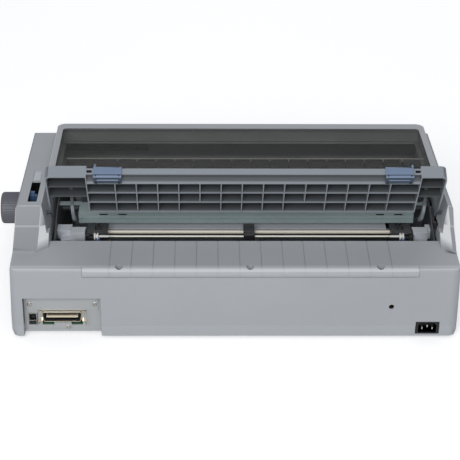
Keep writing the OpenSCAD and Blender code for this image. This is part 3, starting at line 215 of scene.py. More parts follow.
def guide_painted_shade(nt, tone):
    """Painted shade on the raised guide: its cells darker the deeper they lie, while its rib edges keep the
    light tone.
    """
    foot = tuple(v * MM for v in (0, HINGE_Y, HINGE_Z))
    n = along(nt, (0, -math.sin(LEAN), math.cos(LEAN)), foot)
    u = along(nt, (0, math.cos(LEAN), math.sin(LEAN)), foot)
    level = stepped(nt, joined(nt, "MULTIPLY", n, 1 / (CELL_DEPTH * MM)), CELL_SHADE)
    level = joined(nt, "MAXIMUM", level, ranged(nt, u, 0, 1, 0.0846, 0.0854))
    level = joined(nt, "MAXIMUM", level, stepped(nt, facing(nt, "X"), CHEEK_SHADE))
    return shaded(nt, tone, level)


def gear_end(nt, tone):
    """The gear at the end of the drive shaft is dark moulded plastic."""
    return blended(nt, ranged(nt, along(nt, (1, 0, 0)), 1, 0, -0.288, -0.286), tone, (0.05, 0.05, 0.055))


def surface(name, color, rough=0.5, metallic=0.0, vary=0.04, grain=900, bump=0.12, depth=0.00012,
            specular=0.5, stretch=None, coat=0.0, upright=None, tone_by_place=None):
    """A plastic, paint or metal with slow colour change, uneven gloss and a fine moulded or brushed grain.

    upright paints shade, darkening faces by how far they look up or down, and the last argument is a function
    that changes the tone by place, used for painted light and shade on the case and the raised guide, and for
    the dark gear end of the drive shaft."""
    m, nt, bsdf = new_material(name)
    slow = noise(nt, 9, 3)
    dark = tuple(c * (1 - vary) for c in color)
    light = tuple(min(1, c * (1 + vary)) for c in color)
    tone = mixed(nt, ranged(nt, slow, 0, 1), dark, light)
    if upright:
        tone = shaded(nt, tone, stepped(nt, facing(nt, "Z"), upright))
    if tone_by_place:
        tone = tone_by_place(nt, tone)
    nt.links.new(tone, bsdf.inputs["Base Color"])
    fine = noise(nt, grain, 2, 0.6, stretch)
    nt.links.new(ranged(nt, fine, rough - 0.05, rough + 0.05), bsdf.inputs["Roughness"])
    bp = nt.nodes.new("ShaderNodeBump")
    bp.inputs["Strength"].default_value = bump
    bp.inputs["Distance"].default_value = depth
    nt.links.new(fine, bp.inputs["Height"])
    nt.links.new(bp.outputs["Normal"], bsdf.inputs["Normal"])
    bsdf.inputs["Metallic"].default_value = metallic
    bsdf.inputs["Specular IOR Level"].default_value = specular
    bsdf.inputs["Coat Weight"].default_value = coat
    return m


def window_material():
    m, nt, bsdf = new_material("smoky_window")
    bsdf.inputs["Base Color"].default_value = (0.035, 0.035, 0.035, 1)
    rough = ranged(nt, noise(nt, 60, 3), 0.10, 0.2)
    nt.links.new(rough, bsdf.inputs["Roughness"])
    clear = nt.nodes.new("ShaderNodeBsdfTransparent")
    tint = mixed(nt, ranged(nt, noise(nt, 14, 2), 0, 1), (0.88, 0.88, 0.86), (0.92, 0.92, 0.90))
    nt.links.new(tint, clear.inputs["Color"])
    mx = nt.nodes.new("ShaderNodeMixShader")
    mx.inputs["Fac"].default_value = 0.78
    bsdf.inputs["Specular IOR Level"].default_value = 0.2
    nt.links.new(bsdf.outputs["BSDF"], mx.inputs[1])
    nt.links.new(clear.outputs["BSDF"], mx.inputs[2])
    nt.links.new(mx.outputs["Shader"], nt.nodes["Material Output"].inputs["Surface"])
    return m


def lamp_material(name, color, strength):
    m, nt, bsdf = new_material(name)
    dark = tuple(c * 0.8 for c in color)
    nt.links.new(mixed(nt, noise(nt, 300, 2), dark, color), bsdf.inputs["Base Color"])
    bsdf.inputs["Roughness"].default_value = 0.25
    bsdf.inputs["Emission Color"].default_value = (*color, 1)
    bsdf.inputs["Emission Strength"].default_value = strength
    return m


# Painted shade: grey level by how far a face looks up, for the case and for the raised guide
CASE_SHADE = [(-1, 1), (0.3, 1), (0.45, 0.7), (0.85, 0.72), (0.97, 1)]
GUIDE_SHADE = [(-1, 0.3), (-0.3, 0.32), (-0.05, 0.8), (0.4, 1)]
# Where the case's inner facets get a painted highlight, by which way their faces look, and how much painted
# highlight the lip gets by how far it looks up
FACET_HIGHLIGHT_ACROSS = [(-0.65, 0), (-0.57, 1), (-0.4, 1), (-0.3, 0), (0.3, 0), (0.4, 1), (0.57, 1), (0.65, 0)]
FACET_HIGHLIGHT_UP = [(0.3, 0), (0.4, 1)]
LIP_SHADE = [(0.1, 0), (0.4, 0.12), (0.7, 0.75), (0.9, 0.7), (1, 0.35)]
# Painted shade on the raised guide: grey level by how deep a point lies behind its rib edges, in shares of
# CELL_DEPTH, and by how far its two cheeks look sideways
CELL_DEPTH = 20
CELL_SHADE = [(-0.1, 0.35), (-0.04, 1), (0.04, 1), (0.11, 0.38), (0.3, 0.22), (0.84, 0.13), (0.88, 0.8),
              (0.93, 0.8), (0.96, 0.45)]
CHEEK_SHADE = [(-0.6, 0.7), (-0.45, 0), (0.45, 0), (0.6, 0.7)]
# Slope of the rear deck, height of the rear face, and where the shoulders' knee and brow lie, in mm
DECK_TILT = math.radians(5.5)
REAR_H, KNEE_Y, BROW_Y = 107.4, 130, 114

MAT = {
    # The case gets painted shade by how far its faces look up and painted light and shade by place; the
    # raised guide and its edge guides get painted shade too
    "case": surface("case", (0.38, 0.40, 0.422), 0.52, vary=0.02, upright=CASE_SHADE, tone_by_place=case_painted_light),
    "case_low": surface("case_low", (0.395, 0.418, 0.441), 0.52, vary=0.02),
    "guide_grey": surface("guide_grey", (0.265, 0.29, 0.315), 0.45, vary=0.03, tone_by_place=guide_painted_shade),
    "blue_grey": surface("blue_grey", (0.175, 0.235, 0.345), 0.38, vary=0.04, bump=0.05, upright=GUIDE_SHADE),
    "blue_plastic": surface("blue_plastic", (0.045, 0.10, 0.20), 0.35, vary=0.05, bump=0.05),
    "dark_plastic": surface("dark_plastic", (0.11, 0.112, 0.132), 0.42, vary=0.04, bump=0.08),
    "black_plastic": surface("black_plastic", (0.012, 0.012, 0.014), 0.4, vary=0.1, bump=0.1),
    "smoky_window": window_material(),
    "rubber": surface("rubber", (0.016, 0.016, 0.016), 0.75, vary=0.15, grain=1400, bump=0.25, specular=0.3),
    "bright_steel": surface("bright_steel", (0.62, 0.61, 0.58), 0.26, 1.0, vary=0.03, bump=0.04),
    "cream_steel": surface("cream_steel", (0.64, 0.59, 0.51), 0.42, 0.15, vary=0.04, bump=0.05,
                           tone_by_place=gear_end),
    "rod_steel": surface("rod_steel", (0.82, 0.81, 0.72), 0.42, 0.15, vary=0.04, bump=0.05),
    "dark_steel": surface("dark_steel", (0.075, 0.083, 0.09), 0.5, 0.3, vary=0.06),
    "sheet_steel": surface("sheet_steel", (0.36, 0.38, 0.40), 0.42, 0.45, vary=0.05, grain=500,
                           stretch=(0.08, 1, 1)),
    "green_grey": surface("green_grey", (0.29, 0.36, 0.365), 0.45, 0.2, vary=0.05),
    "gear_plastic": surface("gear_plastic", (0.62, 0.60, 0.52), 0.45, vary=0.05),
    "brass": surface("brass", (0.62, 0.48, 0.22), 0.32, 1.0, vary=0.06),
    "head_alloy": surface("head_alloy", (0.06, 0.06, 0.065), 0.55, 0.4, vary=0.1),
    "board_green": surface("board_green", (0.012, 0.085, 0.035), 0.35, vary=0.2, grain=220, bump=0.1),
    "board_brown": surface("board_brown", (0.16, 0.11, 0.045), 0.5, vary=0.15, grain=220, bump=0.1),
    "gold": surface("gold", (0.75, 0.58, 0.30), 0.3, 1.0, vary=0.05, bump=0.03),
    "plated": surface("plated", (0.45, 0.465, 0.47), 0.45, 0.25, vary=0.03, grain=700, bump=0.05),
    "warm_steel": surface("warm_steel", (0.70, 0.64, 0.52), 0.3, 1.0, vary=0.04, bump=0.03),
    "cream_plastic": surface("cream_plastic", (0.62, 0.55, 0.43), 0.45, vary=0.05),
    "copper": surface("copper", (0.55, 0.26, 0.12), 0.35, 1.0, vary=0.08, grain=600),
    "white_plastic": surface("white_plastic", (0.66, 0.66, 0.63), 0.45, vary=0.04),
    "component_grey": surface("component_grey", (0.17, 0.17, 0.18), 0.5, vary=0.08),
    "light_grey": surface("light_grey", (0.48, 0.51, 0.545), 0.5, vary=0.03),
    "lamp_green": lamp_material("lamp_green", (0.08, 0.55, 0.12), 0.6),
    "lamp_orange": lamp_material("lamp_orange", (0.75, 0.28, 0.04), 0.3),
}


def finished(obj, material):
    obj.data.materials.clear()
    obj.data.materials.append(MAT[material])
    return obj


def riding(obj, body, material):
    finished(obj, material)
    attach(obj, body)
    return obj


def mesh_object(name, bm, smooth=True):
    me = bpy.data.meshes.new(name)
    bm.to_mesh(me)
    bm.free()
    obj = bpy.data.objects.new(name, me)
    bpy.context.scene.collection.objects.link(obj)
    if smooth:
        for p in me.polygons:
            p.use_smooth = True
    return obj


def bevelled(obj, width, segments=2, angle=30, clamp=True):
    b = obj.modifiers.new("bevel", "BEVEL")
    b.width = width * MM
    b.segments = segments
    b.limit_method = "ANGLE"
    b.angle_limit = math.radians(angle)
    b.use_clamp_overlap = clamp
    b.harden_normals = True
    return obj


def span(node):
    """Lowest and highest corner of a CAD node, in mm."""
    low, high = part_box(node)
    return Vector(low) / MM, Vector(high) / MM


def thin(face):
    """Width of a long narrow face, in mm."""
    around = sum(e.calc_length() for e in face.edges)
    return 2 * face.calc_area() / max(around, 1e-9) / MM


def soften(node, width, segments=2, material=None, sharp=15):
    """A copy of a CAD node with its flat facets joined and the edges of its broad faces rounded."""
    least = LEAST_WIDTH.get(node, 2.2 * width)
    bm = bmesh.new()
    bm.from_mesh(NODES[node].data)
    bmesh.ops.remove_doubles(bm, verts=bm.verts, dist=0.00001)
    bmesh.ops.dissolve_limit(bm, angle_limit=math.radians(0.3), verts=bm.verts, edges=bm.edges)
    weights = bm.edges.layers.float.new("bevel_weight_edge")
    narrow = {f: thin(f) for f in bm.faces}
    for e in bm.edges:
        if len(e.link_faces) != 2:
            continue
        turned = math.degrees(e.calc_face_angle(0)) > sharp
        broad = min(narrow[f] for f in e.link_faces) > least and e.calc_length() > 2.5 * width * MM
        if broad and any(o.calc_length() < 1.3 * width * MM for v in e.verts for o in v.link_edges):
            broad = False
        e[weights] = 1.0 if turned and broad else 0.0
        e.smooth = not turned or broad
    obj = mesh_object(node + "_shape", bm)
    b = obj.modifiers.new("bevel", "BEVEL")
    b.width = width * MM
    b.segments = segments
    b.limit_method = "WEIGHT"
    b.use_clamp_overlap = False
    b.loop_slide = False
    wn = obj.modifiers.new("normals", "WEIGHTED_NORMAL")
    wn.keep_sharp = True
    wn.weight = 90
    return standing_for(obj, node, material)


def standing_for(obj, node, material=None):
    finished(obj, material or SLOT[node])
    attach(obj, BODY[node])
    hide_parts(node)
    return obj


def rod(bm, a, b, r, sides=16):
    a, b = Vector(a), Vector(b)
    d = b - a
    turn = d.to_track_quat("Z", "Y").to_matrix().to_4x4()
    bmesh.ops.create_cone(bm, cap_ends=True, segments=sides, radius1=r, radius2=r, depth=d.length,
                          matrix=Matrix.Translation((a + b) / 2) @ turn)


def wire(bm, points, r, sides=12):
    """A bent wire: straight stretches with a ball in each bend."""
    for a, b in zip(points, points[1:]):
        rod(bm, a, b, r, sides)
    for p in points[1:-1]:
        bmesh.ops.create_uvsphere(bm, u_segments=sides, v_segments=8, radius=r, matrix=Matrix.Translation(p))


def brick(bm, x0, x1, y0, y1, z0, z1, turn=None):
    m = Matrix.Translation(((x0 + x1) / 2, (y0 + y1) / 2, (z0 + z1) / 2)) @ Matrix.Diagonal(
        (x1 - x0, y1 - y0, z1 - z0, 1))
    if turn is not None:
        m = turn @ m
    bmesh.ops.create_cube(bm, size=1, matrix=m)


def loops_to_skin(bm, loops, closed):
    """Faces between neighbouring loops of points, with the first and last loop capped or joined."""
    rows = [[bm.verts.new(p) for p in loop] for loop in loops]
    pairs = list(zip(rows, rows[1:])) + ([(rows[-1], rows[0])] if closed else [])
    for p, q in pairs:
        for i in range(len(p)):
            k = (i + 1) % len(p)
            bm.faces.new((p[i], p[k], q[k], q[i]))
    if not closed:
        bm.faces.new(rows[0][::-1])
        bm.faces.new(rows[-1])


def prism(bm, outline, a, b, place):
    """An outline of (u, v) points from depth a to depth b, where place turns (u, v, depth) into a point."""
    loops_to_skin(bm, [[place(u, v, d) for u, v in outline] for d in (a, b)], closed=False)


def tube(bm, outer, inner, a, b, place):
    """A prism with a hole: both outlines have the same number of points."""
    loops_to_skin(bm, [[place(u, v, d) for u, v in line]
                       for line, d in ((outer, a), (outer, b), (inner, b), (inner, a))], closed=True)


def lathe(bm, profile, place, sides=48):
    """(radius, height) pairs turned round the axis of a place that takes (u, v, height)."""
    ring = [2 * math.pi * i / sides for i in range(sides)]
    loops_to_skin(bm, [[place(r * math.cos(t), r * math.sin(t), h) for t in ring] for r, h in profile],
                  closed=False)


def rounded(w, h, r, cut=0.0, steps=4):
    """A rectangle of half sizes w and h with rounded corners, its lower corners moved in by cut."""
    points = []
    for sx, sy, start in ((1, 1, 0), (-1, 1, 90), (-1, -1, 180), (1, -1, 270)):
        half = w - (cut if sy < 0 else 0)
        for i in range(steps + 1):
            t = math.radians(start + 90 * i / steps)
            points.append((sx * (half - r) + r * math.cos(t), sy * (h - r) + r * math.sin(t)))
    return points


def toward_rear(x, z):
    """Places for pieces that are seen from the rear: u along X, v up, depth along Y."""
    return lambda u, v, d: Vector((x + u, d, z + v))


def shape(name, draw, bevel=0.0, segments=2, smooth=True, sharp=30):
    """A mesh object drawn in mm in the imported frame."""
    bm = bmesh.new()
    draw(bm)
    bmesh.ops.remove_doubles(bm, verts=bm.verts, dist=0.0005)
    bmesh.ops.recalc_face_normals(bm, faces=bm.faces)
    for e in bm.edges:
        e.smooth = len(e.link_faces) != 2 or math.degrees(e.calc_face_angle(0)) < sharp
    bmesh.ops.scale(bm, vec=(MM, MM, MM), verts=bm.verts)
    obj = mesh_object(name, bm, smooth)
    if bevel:
        bevelled(obj, bevel, segments)
    return obj


def build(name, body, material, draw, bevel=0.2, segments=2):
    return riding(shape(name, draw, bevel, segments), body, material)


# Looks that differ from the slot of a node
LOOK = {
    "ribbon_cartridge": "component_grey", "carriage": "component_grey", "blank_plate": "plated",
    "interface_plate": "plated", "tractor_brackets": "light_grey", "tractor_rod": "rod_steel",
    "paper_plate": "light_grey", "platen_shaft": "dark_steel", "platen_gear": "dark_plastic",
    "idler_gear": "dark_plastic",
}

# Finish of every CAD node that stays as it is

for name, obj in NODES.items():
    finished(obj, LOOK.get(name, SLOT[name]))

# Softened copies of CAD nodes: the node and the width of its rounded edges, in mm

SOFT = {
    "lower_case": 0.9, "upper_case": 0.7, "top_cover": 0.9, "front_cover": 0.5,
    "control_panel": 0.4, "pause_button": 0.8, "feed_button": 0.8, "load_button": 0.8, "release_lever": 0.6,
    "tractor_brackets": 0.5, "paper_support": 0.4, "print_head": 0.4, "carriage": 0.8,
    "ribbon_cartridge": 1.0, "blank_plate": 0.25, "interface_plate": 0.25, "power_switch": 0.4,
    "tear_off_bar": 0.3, "feed_motor": 0.6, "platen_guide": 0.2, "paper_plate": 0.2,
    "left_tractor": 0.4, "right_tractor": 0.4, "left_tractor_cover": 0.4, "right_tractor_cover": 0.4,
    "left_lock_lever": 0.4, "right_lock_lever": 0.4,
}
# Faces narrower than this keep their sharp edges, in mm. Elsewhere it follows the rounding's width
LEAST_WIDTH = {"upper_case": 4}
for node, width in SOFT.items():
    soften(node, width, material=LOOK.get(node))


# Screws with a cross recess

def islands(node):
    """Lowest and highest corner, in mm, of each separate solid of a node."""
    bm = bmesh.new()
    bm.from_mesh(NODES[node].data)
    bmesh.ops.remove_doubles(bm, verts=bm.verts, dist=0.00001)
    left, found = set(bm.verts), []
    while left:
        group, todo = set(), [next(iter(left))]
        while todo:
            v = todo.pop()
            if v not in group:
                group.add(v)
                todo.extend(e.other_vert(v) for e in v.link_edges)
        left -= group
        points = [v.co / MM for v in group]
        found.append(tuple(Vector([pick(p[i] for p in points) for i in range(3)]) for pick in (min, max)))
    bm.free()
    return found


def pan_head(bm, r, height, place, sides=64, rings=16):
    """A domed head with a cross pressed into it, standing on height 0 of its place."""
    def top(x, y, share):
        dome = height * (0.55 + 0.45 * math.sqrt(max(0, 1 - share ** 2)))
        arm = min(abs(x), abs(y)) < 0.16 * r and max(abs(x), abs(y)) < 0.55 * r
        return dome - (0.5 * height if arm else 0)
    turns = [2 * math.pi * i / sides for i in range(sides)]
    loops = [[place(r * math.cos(t), r * math.sin(t), 0) for t in turns]]
    for k in range(rings):
        share = 1 - k / rings
        row = []
        for i in range(sides):
            t = 2 * math.pi * (i + 0.5) / sides
            x, y = r * share * math.cos(t), r * share * math.sin(t)
            row.append(place(x, y, top(x, y, share)))
        loops.append(row)
    loops_to_skin(bm, loops, closed=False)


def draw_screws(bm, upright):
    """Screws of the rear plates, or upright the ones of the deck, which lie above them."""
    head, plates_top = 1.6, 60
    for low, high in islands("screws"):
        mid = (low + high) / 2
        size = high - low
        if (low.z > plates_top) != upright:
            continue
        if upright:
            pan_head(bm, size.x / 2, head, lambda u, v, d: Vector((mid.x + u, mid.y + v, high.z - head + d)))
            rod(bm, (mid.x, mid.y, low.z), (mid.x, mid.y, high.z - head), 1.5)
        else:
            pan_head(bm, size.x / 2, head, lambda u, v, d: Vector((mid.x + u, high.y - head + d, mid.z + v)))
            rod(bm, (mid.x, low.y, mid.z), (mid.x, high.y - head, mid.z), 1.5)


standing_for(shape("screw_heads", lambda bm: draw_screws(bm, False), sharp=50), "screws")
# The deck screws are dark steel, standing in as painted shade for the deep holes they sit in
build("deck_screw_heads", "case", "dark_steel", lambda bm: draw_screws(bm, True), 0)

# Data socket, small socket, wire clips and mains inlet

low, high = span("parallel_socket")
SOCKET_X, SOCKET_FACE = (low.x + high.x) / 2, high.y
SOCKET_Z = high.z - 7.7
socket_place = toward_rear(SOCKET_X, SOCKET_Z)


def draw_socket_shell(bm):
    y, bore = SOCKET_FACE, rounded(26.3, 6.8, 2.4, 1.5)
    tube(bm, rounded(27.2, 7.7, 3.2, 1.5), bore, y - 9, y, socket_place)
    tube(bm, rounded(28.6, 7.7, 1.2), bore, y - 6.4, y - 5, socket_place)
    for s in (-1, 1):
        for v in (-7.1, 7.1):
            x, z = SOCKET_X + s * 29.8, SOCKET_Z + v
            brick(bm, x - 2.8, x + 2.8, y - 5, y - 0.4, z - 0.6, z + 0.6)


def draw_socket_core(bm):
    y = SOCKET_FACE
    tube(bm, rounded(26.2, 6.7, 2.4, 1.5), rounded(24.5, 5, 2, 1.2), y - 10, y - 1, socket_place)
    prism(bm, rounded(24.6, 5.1, 2, 1.2), y - 10, y - 8, socket_place)
    brick(bm, SOCKET_X - 27, SOCKET_X + 27, low.y, y - 9.5, low.z, high.z - 0.2)


def draw_contacts(bm):
    for i in range(18):
        x = SOCKET_X - 18.36 + i * 2.16
        for v in (-1.6, 1.6):
            z = SOCKET_Z + v
            brick(bm, x - 0.6, x + 0.6, SOCKET_FACE - 8.5, SOCKET_FACE - 1.6, z - 0.3, z + 0.3)


standing_for(shape("socket_shell", draw_socket_shell, 0.15), "parallel_socket", "warm_steel")
build("socket_core", "case", "black_plastic", draw_socket_core, 0.15)
build("socket_tongue", "case", "cream_plastic",
      lambda bm: brick(bm, SOCKET_X - 21.5, SOCKET_X + 21.5, SOCKET_FACE - 8.5, SOCKET_FACE - 1.2,
                       SOCKET_Z - 1.4, SOCKET_Z + 1.4), 0.3)
build("socket_contacts", "case", "gold", draw_contacts, 0.1)

usb_low, usb_high = span("usb_socket")
usb_place = toward_rear((usb_low.x + usb_high.x) / 2, usb_high.z - 5.6)


def draw_small_shell(bm):
    tube(bm, rounded(6, 5.6, 1.0), rounded(5.6, 5.2, 0.8), usb_low.y, usb_high.y, usb_place)
    brick(bm, usb_low.x, usb_high.x, usb_low.y, usb_low.y + 1, usb_low.z, usb_high.z)


def draw_small_core(bm):
    tube(bm, rounded(5.5, 5.1, 0.8), rounded(4.3, 3.9, 1.6), usb_low.y + 1, usb_high.y - 0.3, usb_place)
    prism(bm, rounded(5.4, 5.0, 0.8), usb_low.y + 1, usb_low.y + 3, usb_place)
    prism(bm, rounded(2.8, 1.6, 0.3), usb_low.y + 3, usb_high.y - 1.5, usb_place)
    brick(bm, usb_low.x + 0.5, usb_high.x - 0.5, usb_low.y + 1, usb_high.y - 1.5,
          usb_low.z, usb_high.z - 10.8)


standing_for(shape("small_socket_shell", draw_small_shell, 0.1), "usb_socket")
build("small_socket_core", "case", "black_plastic", draw_small_core, 0.1)

inlet_low, inlet_high = span("ac_inlet")
inlet_mid = (inlet_low + inlet_high) / 2
inlet_place = toward_rear(inlet_mid.x, inlet_mid.z)
INLET_W, INLET_H = (inlet_high.x - inlet_low.x) / 2, (inlet_high.z - inlet_low.z) / 2


def cavity(w, h, cut):
    """Inlet opening with its two upper corners cut, given as many points as the flange."""
    return [(w, h - cut), (w - cut, h), (cut - w, h), (-w, h - cut), (-w, -h), (w, -h)]


def draw_inlet(bm):
    y = inlet_high.y
    flange = cavity(INLET_W, INLET_H, 1.5)
    tube(bm, flange, cavity(12.3, 7.6, 3.6), y - 2.8, y, inlet_place)
    tube(bm, cavity(14, 8.9, 4.2), cavity(12.3, 7.6, 3.6), inlet_low.y, y - 2.7, inlet_place)
    prism(bm, cavity(12.4, 7.7, 3.6), inlet_low.y, inlet_low.y + 3, inlet_place)
    prism(bm, cavity(9.6, 4.9, 2.2), inlet_low.y + 2.9, y - 6, inlet_place)


def draw_pins(bm):
    for u, v in ((-7, -1.5), (0, 1.8), (7, -1.5)):
        x, z = inlet_mid.x + u, inlet_mid.z + v
        brick(bm, x - 1, x + 1, inlet_low.y + 3, inlet_high.y - 1.6, z - 2, z + 2)


standing_for(shape("inlet_housing", draw_inlet, 0.5, 3), "ac_inlet")
build("inlet_pins", "case", "bright_steel", draw_pins, 0.35)

for node in ("left_wire_clip", "right_wire_clip"):
    clip_low, clip_high = span(node)
    inner, outer = clip_low.x + 0.6, clip_high.x - 0.6
    if node.startswith("left"):
        inner, outer = outer, inner
    near, far = clip_low.y + 0.6, clip_high.y - 0.6
    bottom, top = clip_low.z + 0.6, clip_high.z - 0.6

    def draw_clip(bm):
        wire(bm, [(inner, near, bottom + 3), (inner, near, bottom), (outer, far, bottom), (outer, far, top),
                  (inner, near, top), (inner, near, top - 3)], 0.55)

    standing_for(shape(node + "_bent", draw_clip), node)

# Edge guides on the rail of the raised guide

FOOT = Vector((MECH, HINGE_Y, HINGE_Z))


def on_guide(x, u, n):
    """A point given along the guide's rail, up its ribbed panel and out through its thickness."""
    back = u * math.cos(LEAN) - n * math.sin(LEAN)
    rise = u * math.sin(LEAN) + n * math.cos(LEAN)
    return FOOT + Vector((x, back, rise))


def edge_profile(inset):
    """Section of an edge guide: rounded top, groove near the back and a band set in by inset."""
    r = 3.4
    turns = [math.radians(a) for a in (0, 22, 45, 68, 90)]
    band = [(73, -1.2), (79.5, -1.2), (80, -1.2 + inset), (84.6, -1.2 + inset), (85, -1.2)]
    groove = [(86.6, -1.2), (87.9, 0.2), (88, 1.6), (86.7, 1.7), (86.7, 2.7), (88.4, 2.9)]
    crown = [(88.4 - r * (1 - math.cos(t)), 13 + r * math.sin(t)) for t in turns]
    inside = [(82, 16.4), (82, 14.2), (86.2, 14.2), (86.2, 0.9), (73, 0.9)]
    return band + groove + crown + inside


def draw_edge_guide(bm, x0, x1, fence):
    place = lambda u, v, d: on_guide(d, u, v)
    prism(bm, edge_profile(0), x0, x0 + 4.5, place)
    prism(bm, edge_profile(1.1), x0 + 4.5, x1 - 4.5, place)
    prism(bm, edge_profile(0), x1 - 4.5, x1, place)
    upright = [(82, 14.2), (88.4, 14.2), (88.2, 18.2), (86.8, 19.8), (84.8, 19.8), (83, 17.4)]
    prism(bm, upright, fence, fence + 2.6, place)


def draw_edge_marks(bm, x0, x1):
    for x in (x0 + 3.4, x1 - 3.4):
        rod(bm, on_guide(x, 87.6, 0.9), on_guide(x, 88.25, 0.9), 0.9)
        for u in (73.4, 75.8):
            brick(bm, x - 1.6, x + 1.6, u - 0.6, u + 0.6, -1.7, -1.1,
                  turn=Matrix.Translation(FOOT) @ Matrix.Rotation(LEAN, 4, "X"))


for node in ("edge_guide_left", "edge_guide_right"):
    low_e, high_e = span(node)
    x0, x1 = low_e.x - MECH, high_e.x - MECH
    fence = x0 if node.endswith("left") else x1 - 3.2
    standing_for(shape(node + "_shape", lambda bm: draw_edge_guide(bm, x0, x1, fence), 0.2), node)
    build(node + "_marks", BODY[node], "black_plastic", lambda bm: draw_edge_marks(bm, x0, x1), 0.1)

# Knob with shallow flutes, rounded at its outer end

knob_low, knob_high = span("platen_knob")
KNOB_Y, KNOB_Z = (knob_low.y + knob_high.y) / 2, (knob_low.z + knob_high.z) / 2
KNOB_R = (knob_high.y - knob_low.y) / 2


def draw_knob(bm, flutes=40, steps=4):
    length = knob_high.x - knob_low.x
    side = [(KNOB_R - 1, 0), (KNOB_R, 0.8), (KNOB_R, 3), (KNOB_R, 4), (KNOB_R, length - 4)]
    rounding = [(KNOB_R - 0.5, length - 2), (KNOB_R - 1.6, length - 0.7), (KNOB_R - 3.2, length)]
    hollow = [(KNOB_R - 7, length), (KNOB_R - 8, length - 1.4), (0.3, length - 1.4)]
    profile = side + rounding + hollow
    loops = []
    for k, (r, h) in enumerate(profile):
        row = []
        for i in range(flutes * steps):
            t = 2 * math.pi * i / (flutes * steps)
            dip = 0.35 * (1 + math.cos(2 * math.pi * i / steps)) if 3 <= k <= 4 else 0
            row.append((knob_low.x + h, KNOB_Y + (r - dip) * math.cos(t), KNOB_Z + (r - dip) * math.sin(t)))
        loops.append(row)
    loops_to_skin(bm, loops, closed=False)


standing_for(shape("knob_fluted", draw_knob, sharp=40), "platen_knob")

# Strip and ribs under the window, in front of the ribbed bar

bar_low, bar_high = span("tear_off_bar")
STRIP_Y = bar_low.y - 11


def draw_strip(bm):
    left, right = MECH + 259, MECH - 270
    brick(bm, right, left, STRIP_Y - 1.1, STRIP_Y + 1.1, bar_high.z - 1.2, bar_high.z - 0.2)
    first_rib, rib_step, ribs = MECH - 236.7, 28, 16
    for i in range(ribs):
        x = first_rib + i * rib_step
        brick(bm, x - 0.6, x + 0.6, STRIP_Y, bar_low.y + 0.5, bar_high.z - 1.6, bar_high.z - 0.3)


build("bar_strip", "case", "white_plastic", draw_strip, 0.15)

# Pale plate in the recess beside the release lever, and the collars beside the tractors

PATCH_X = 273.7 + SHIFT


def draw_patch(bm):
    brick(bm, PATCH_X + 0.5, PATCH_X + 10.8, 5.5, 34.5, 158.9, 159.7)


build("lever_patch", "case", "light_grey", draw_patch, 0.2)

COLLAR = [(1.4, -14), (1.5, -14), (1.5, 0), (4.2, 0), (4.8, 0.6), (4.8, 2), (3, 2.4), (3, 3.8), (4.8, 4.2),
          (4.8, 5.6), (4.2, 6.2), (0.3, 6.2)]


def draw_collar(bm, x, side):
    """A collar at the tractor's rear face. It isn't on the rod: it is raised so that it lines up with
    the rod only from an angle of 28 degrees above."""
    low_r, high_r = span("tractor_rod")
    back = span("right_tractor")[1].y
    lift = (back - (low_r.y + high_r.y) / 2) * math.tan(math.radians(28))
    mid_z = (low_r.z + high_r.z) / 2 + lift
    lathe(bm, COLLAR, lambda u, v, h: Vector((x + side * h, back + u, mid_z + v)), sides=32)


build("right_rod_collar", BODY["right_tractor"], "white_plastic", lambda bm: draw_collar(bm, 173, 1), 0)
build("left_rod_collar", BODY["left_tractor"], "white_plastic", lambda bm: draw_collar(bm, -243.5, -1), 0)

# Lamps of the control panel

SLOPE = math.atan2(68, 69.5)
PANEL = Vector((205 + SHIFT, -165.25, 126))


def on_panel(x, y, h):
    """A point of the sloping panel: across, up the slope and out of it."""
    back = y * math.cos(SLOPE) - h * math.sin(SLOPE)
    rise = y * math.sin(SLOPE) + h * math.cos(SLOPE)
    return PANEL + Vector((x, back, rise))


def draw_lamps(bm, first, last):
    for i in range(first, last):
        lathe(bm, [(1.8, 1.6), (1.8, 2.2), (1.5, 2.7), (0.9, 3.0), (0.2, 3.1)],
              lambda u, v, h: on_panel(22 + i * 10 + u, 7 + v, h), sides=24)


build("panel_lamps_green", "case", "lamp_green", lambda bm: draw_lamps(bm, 0, 4), 0)
build("panel_lamp_orange", "case", "lamp_orange", lambda bm: draw_lamps(bm, 4, 5), 0)

# Stage, camera and light

CAM = Vector((44.25 + SHIFT, 1837.63, 1038.81)) * MM
TILT, YAW, ROLL = math.radians(28), math.radians(1.2552), math.radians(0.6046)
fwd = Vector((-math.sin(YAW) * math.cos(TILT), -math.cos(YAW) * math.cos(TILT), -math.sin(TILT)))
right = Vector((-math.cos(YAW), math.sin(YAW), 0))
up = right.cross(fwd)
r2 = right * math.cos(ROLL) + up * math.sin(ROLL)
u2 = up * math.cos(ROLL) - right * math.sin(ROLL)
cam_data = bpy.data.cameras.new("camera")
cam_data.lens = 1412.06 / 460 * 36
cam_data.sensor_width = 36
cam_data.clip_end = 20
cam = bpy.data.objects.new("camera", cam_data)
bpy.context.scene.collection.objects.link(cam)
cam.matrix_world = Matrix((
    (r2.x, u2.x, -fwd.x, CAM.x), (r2.y, u2.y, -fwd.y, CAM.y), (r2.z, u2.z, -fwd.z, CAM.z), (0, 0, 0, 1)))
bpy.context.scene.camera = cam

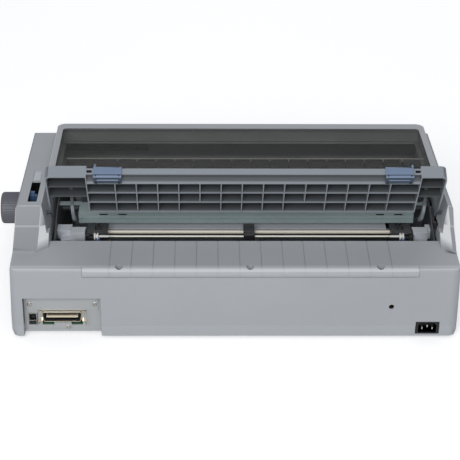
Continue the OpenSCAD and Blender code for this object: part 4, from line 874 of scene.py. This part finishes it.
# What the floor gives back to the model, and how far it is lifted towards white for the camera
FLOOR_BOUNCE = 0.75
FLOOR_GLOW = 0.36
bm = bmesh.new()
bmesh.ops.create_grid(bm, x_segments=1, y_segments=1, size=6)
floor = mesh_object("floor", bm, smooth=False)
fm, nt, bsdf = new_material("floor")
bsdf.inputs["Roughness"].default_value = 0.9
bsdf.inputs["Specular IOR Level"].default_value = 0.1
pale = mixed(nt, noise(nt, 2, 2), (0.93, 0.93, 0.93), (0.95, 0.95, 0.95))
tone = nt.nodes.new("ShaderNodeMix")
tone.data_type = "RGBA"
tone.inputs["A"].default_value = (FLOOR_BOUNCE, FLOOR_BOUNCE, FLOOR_BOUNCE, 1)
seen_floor = nt.nodes.new("ShaderNodeLightPath").outputs["Is Camera Ray"]
nt.links.new(seen_floor, tone.inputs["Factor"])
nt.links.new(pale, tone.inputs["B"])
nt.links.new(tone.outputs["Result"], bsdf.inputs["Base Color"])
bsdf.inputs["Emission Color"].default_value = (1, 1, 1, 1)
nt.links.new(ranged(nt, seen_floor, 0, FLOOR_GLOW, 0, 1), bsdf.inputs["Emission Strength"])
floor.data.materials.append(fm)

world = bpy.data.worlds.new("world")
bpy.context.scene.world = world
world.use_nodes = True
wnt = world.node_tree
bg = wnt.nodes["Background"]
bg.inputs["Color"].default_value = (0.93, 0.95, 1.0, 1)
bg.inputs["Strength"].default_value = 0.44
lp = wnt.nodes.new("ShaderNodeLightPath")
seen = wnt.nodes.new("ShaderNodeBackground")
seen.inputs["Color"].default_value = (1, 1, 1, 1)
seen.inputs["Strength"].default_value = 1.0
mx = wnt.nodes.new("ShaderNodeMixShader")
wnt.links.new(lp.outputs["Is Camera Ray"], mx.inputs["Fac"])
wnt.links.new(bg.outputs["Background"], mx.inputs[1])
wnt.links.new(seen.outputs["Background"], mx.inputs[2])
wnt.links.new(mx.outputs["Shader"], wnt.nodes["World Output"].inputs["Surface"])


def softbox(name, at, toward, size_x, size_y, power):
    d = bpy.data.lights.new(name, "AREA")
    d.shape = "RECTANGLE"
    d.size, d.size_y = size_x, size_y
    d.energy = power
    o = bpy.data.objects.new(name, d)
    bpy.context.scene.collection.objects.link(o)
    o.location = at
    o.rotation_euler = (Vector(toward) - Vector(at)).to_track_quat("-Z", "Y").to_euler()


softbox("key_light", (0.5, 2.75, 1.7), (0, 0.05, 0.05), 1.9, 1.2, 58)
softbox("far_light", (-0.3, -2.0, 1.8), (0, 0, 0.1), 1.8, 1.2, 8)

bpy.context.scene.view_settings.view_transform = "Standard"
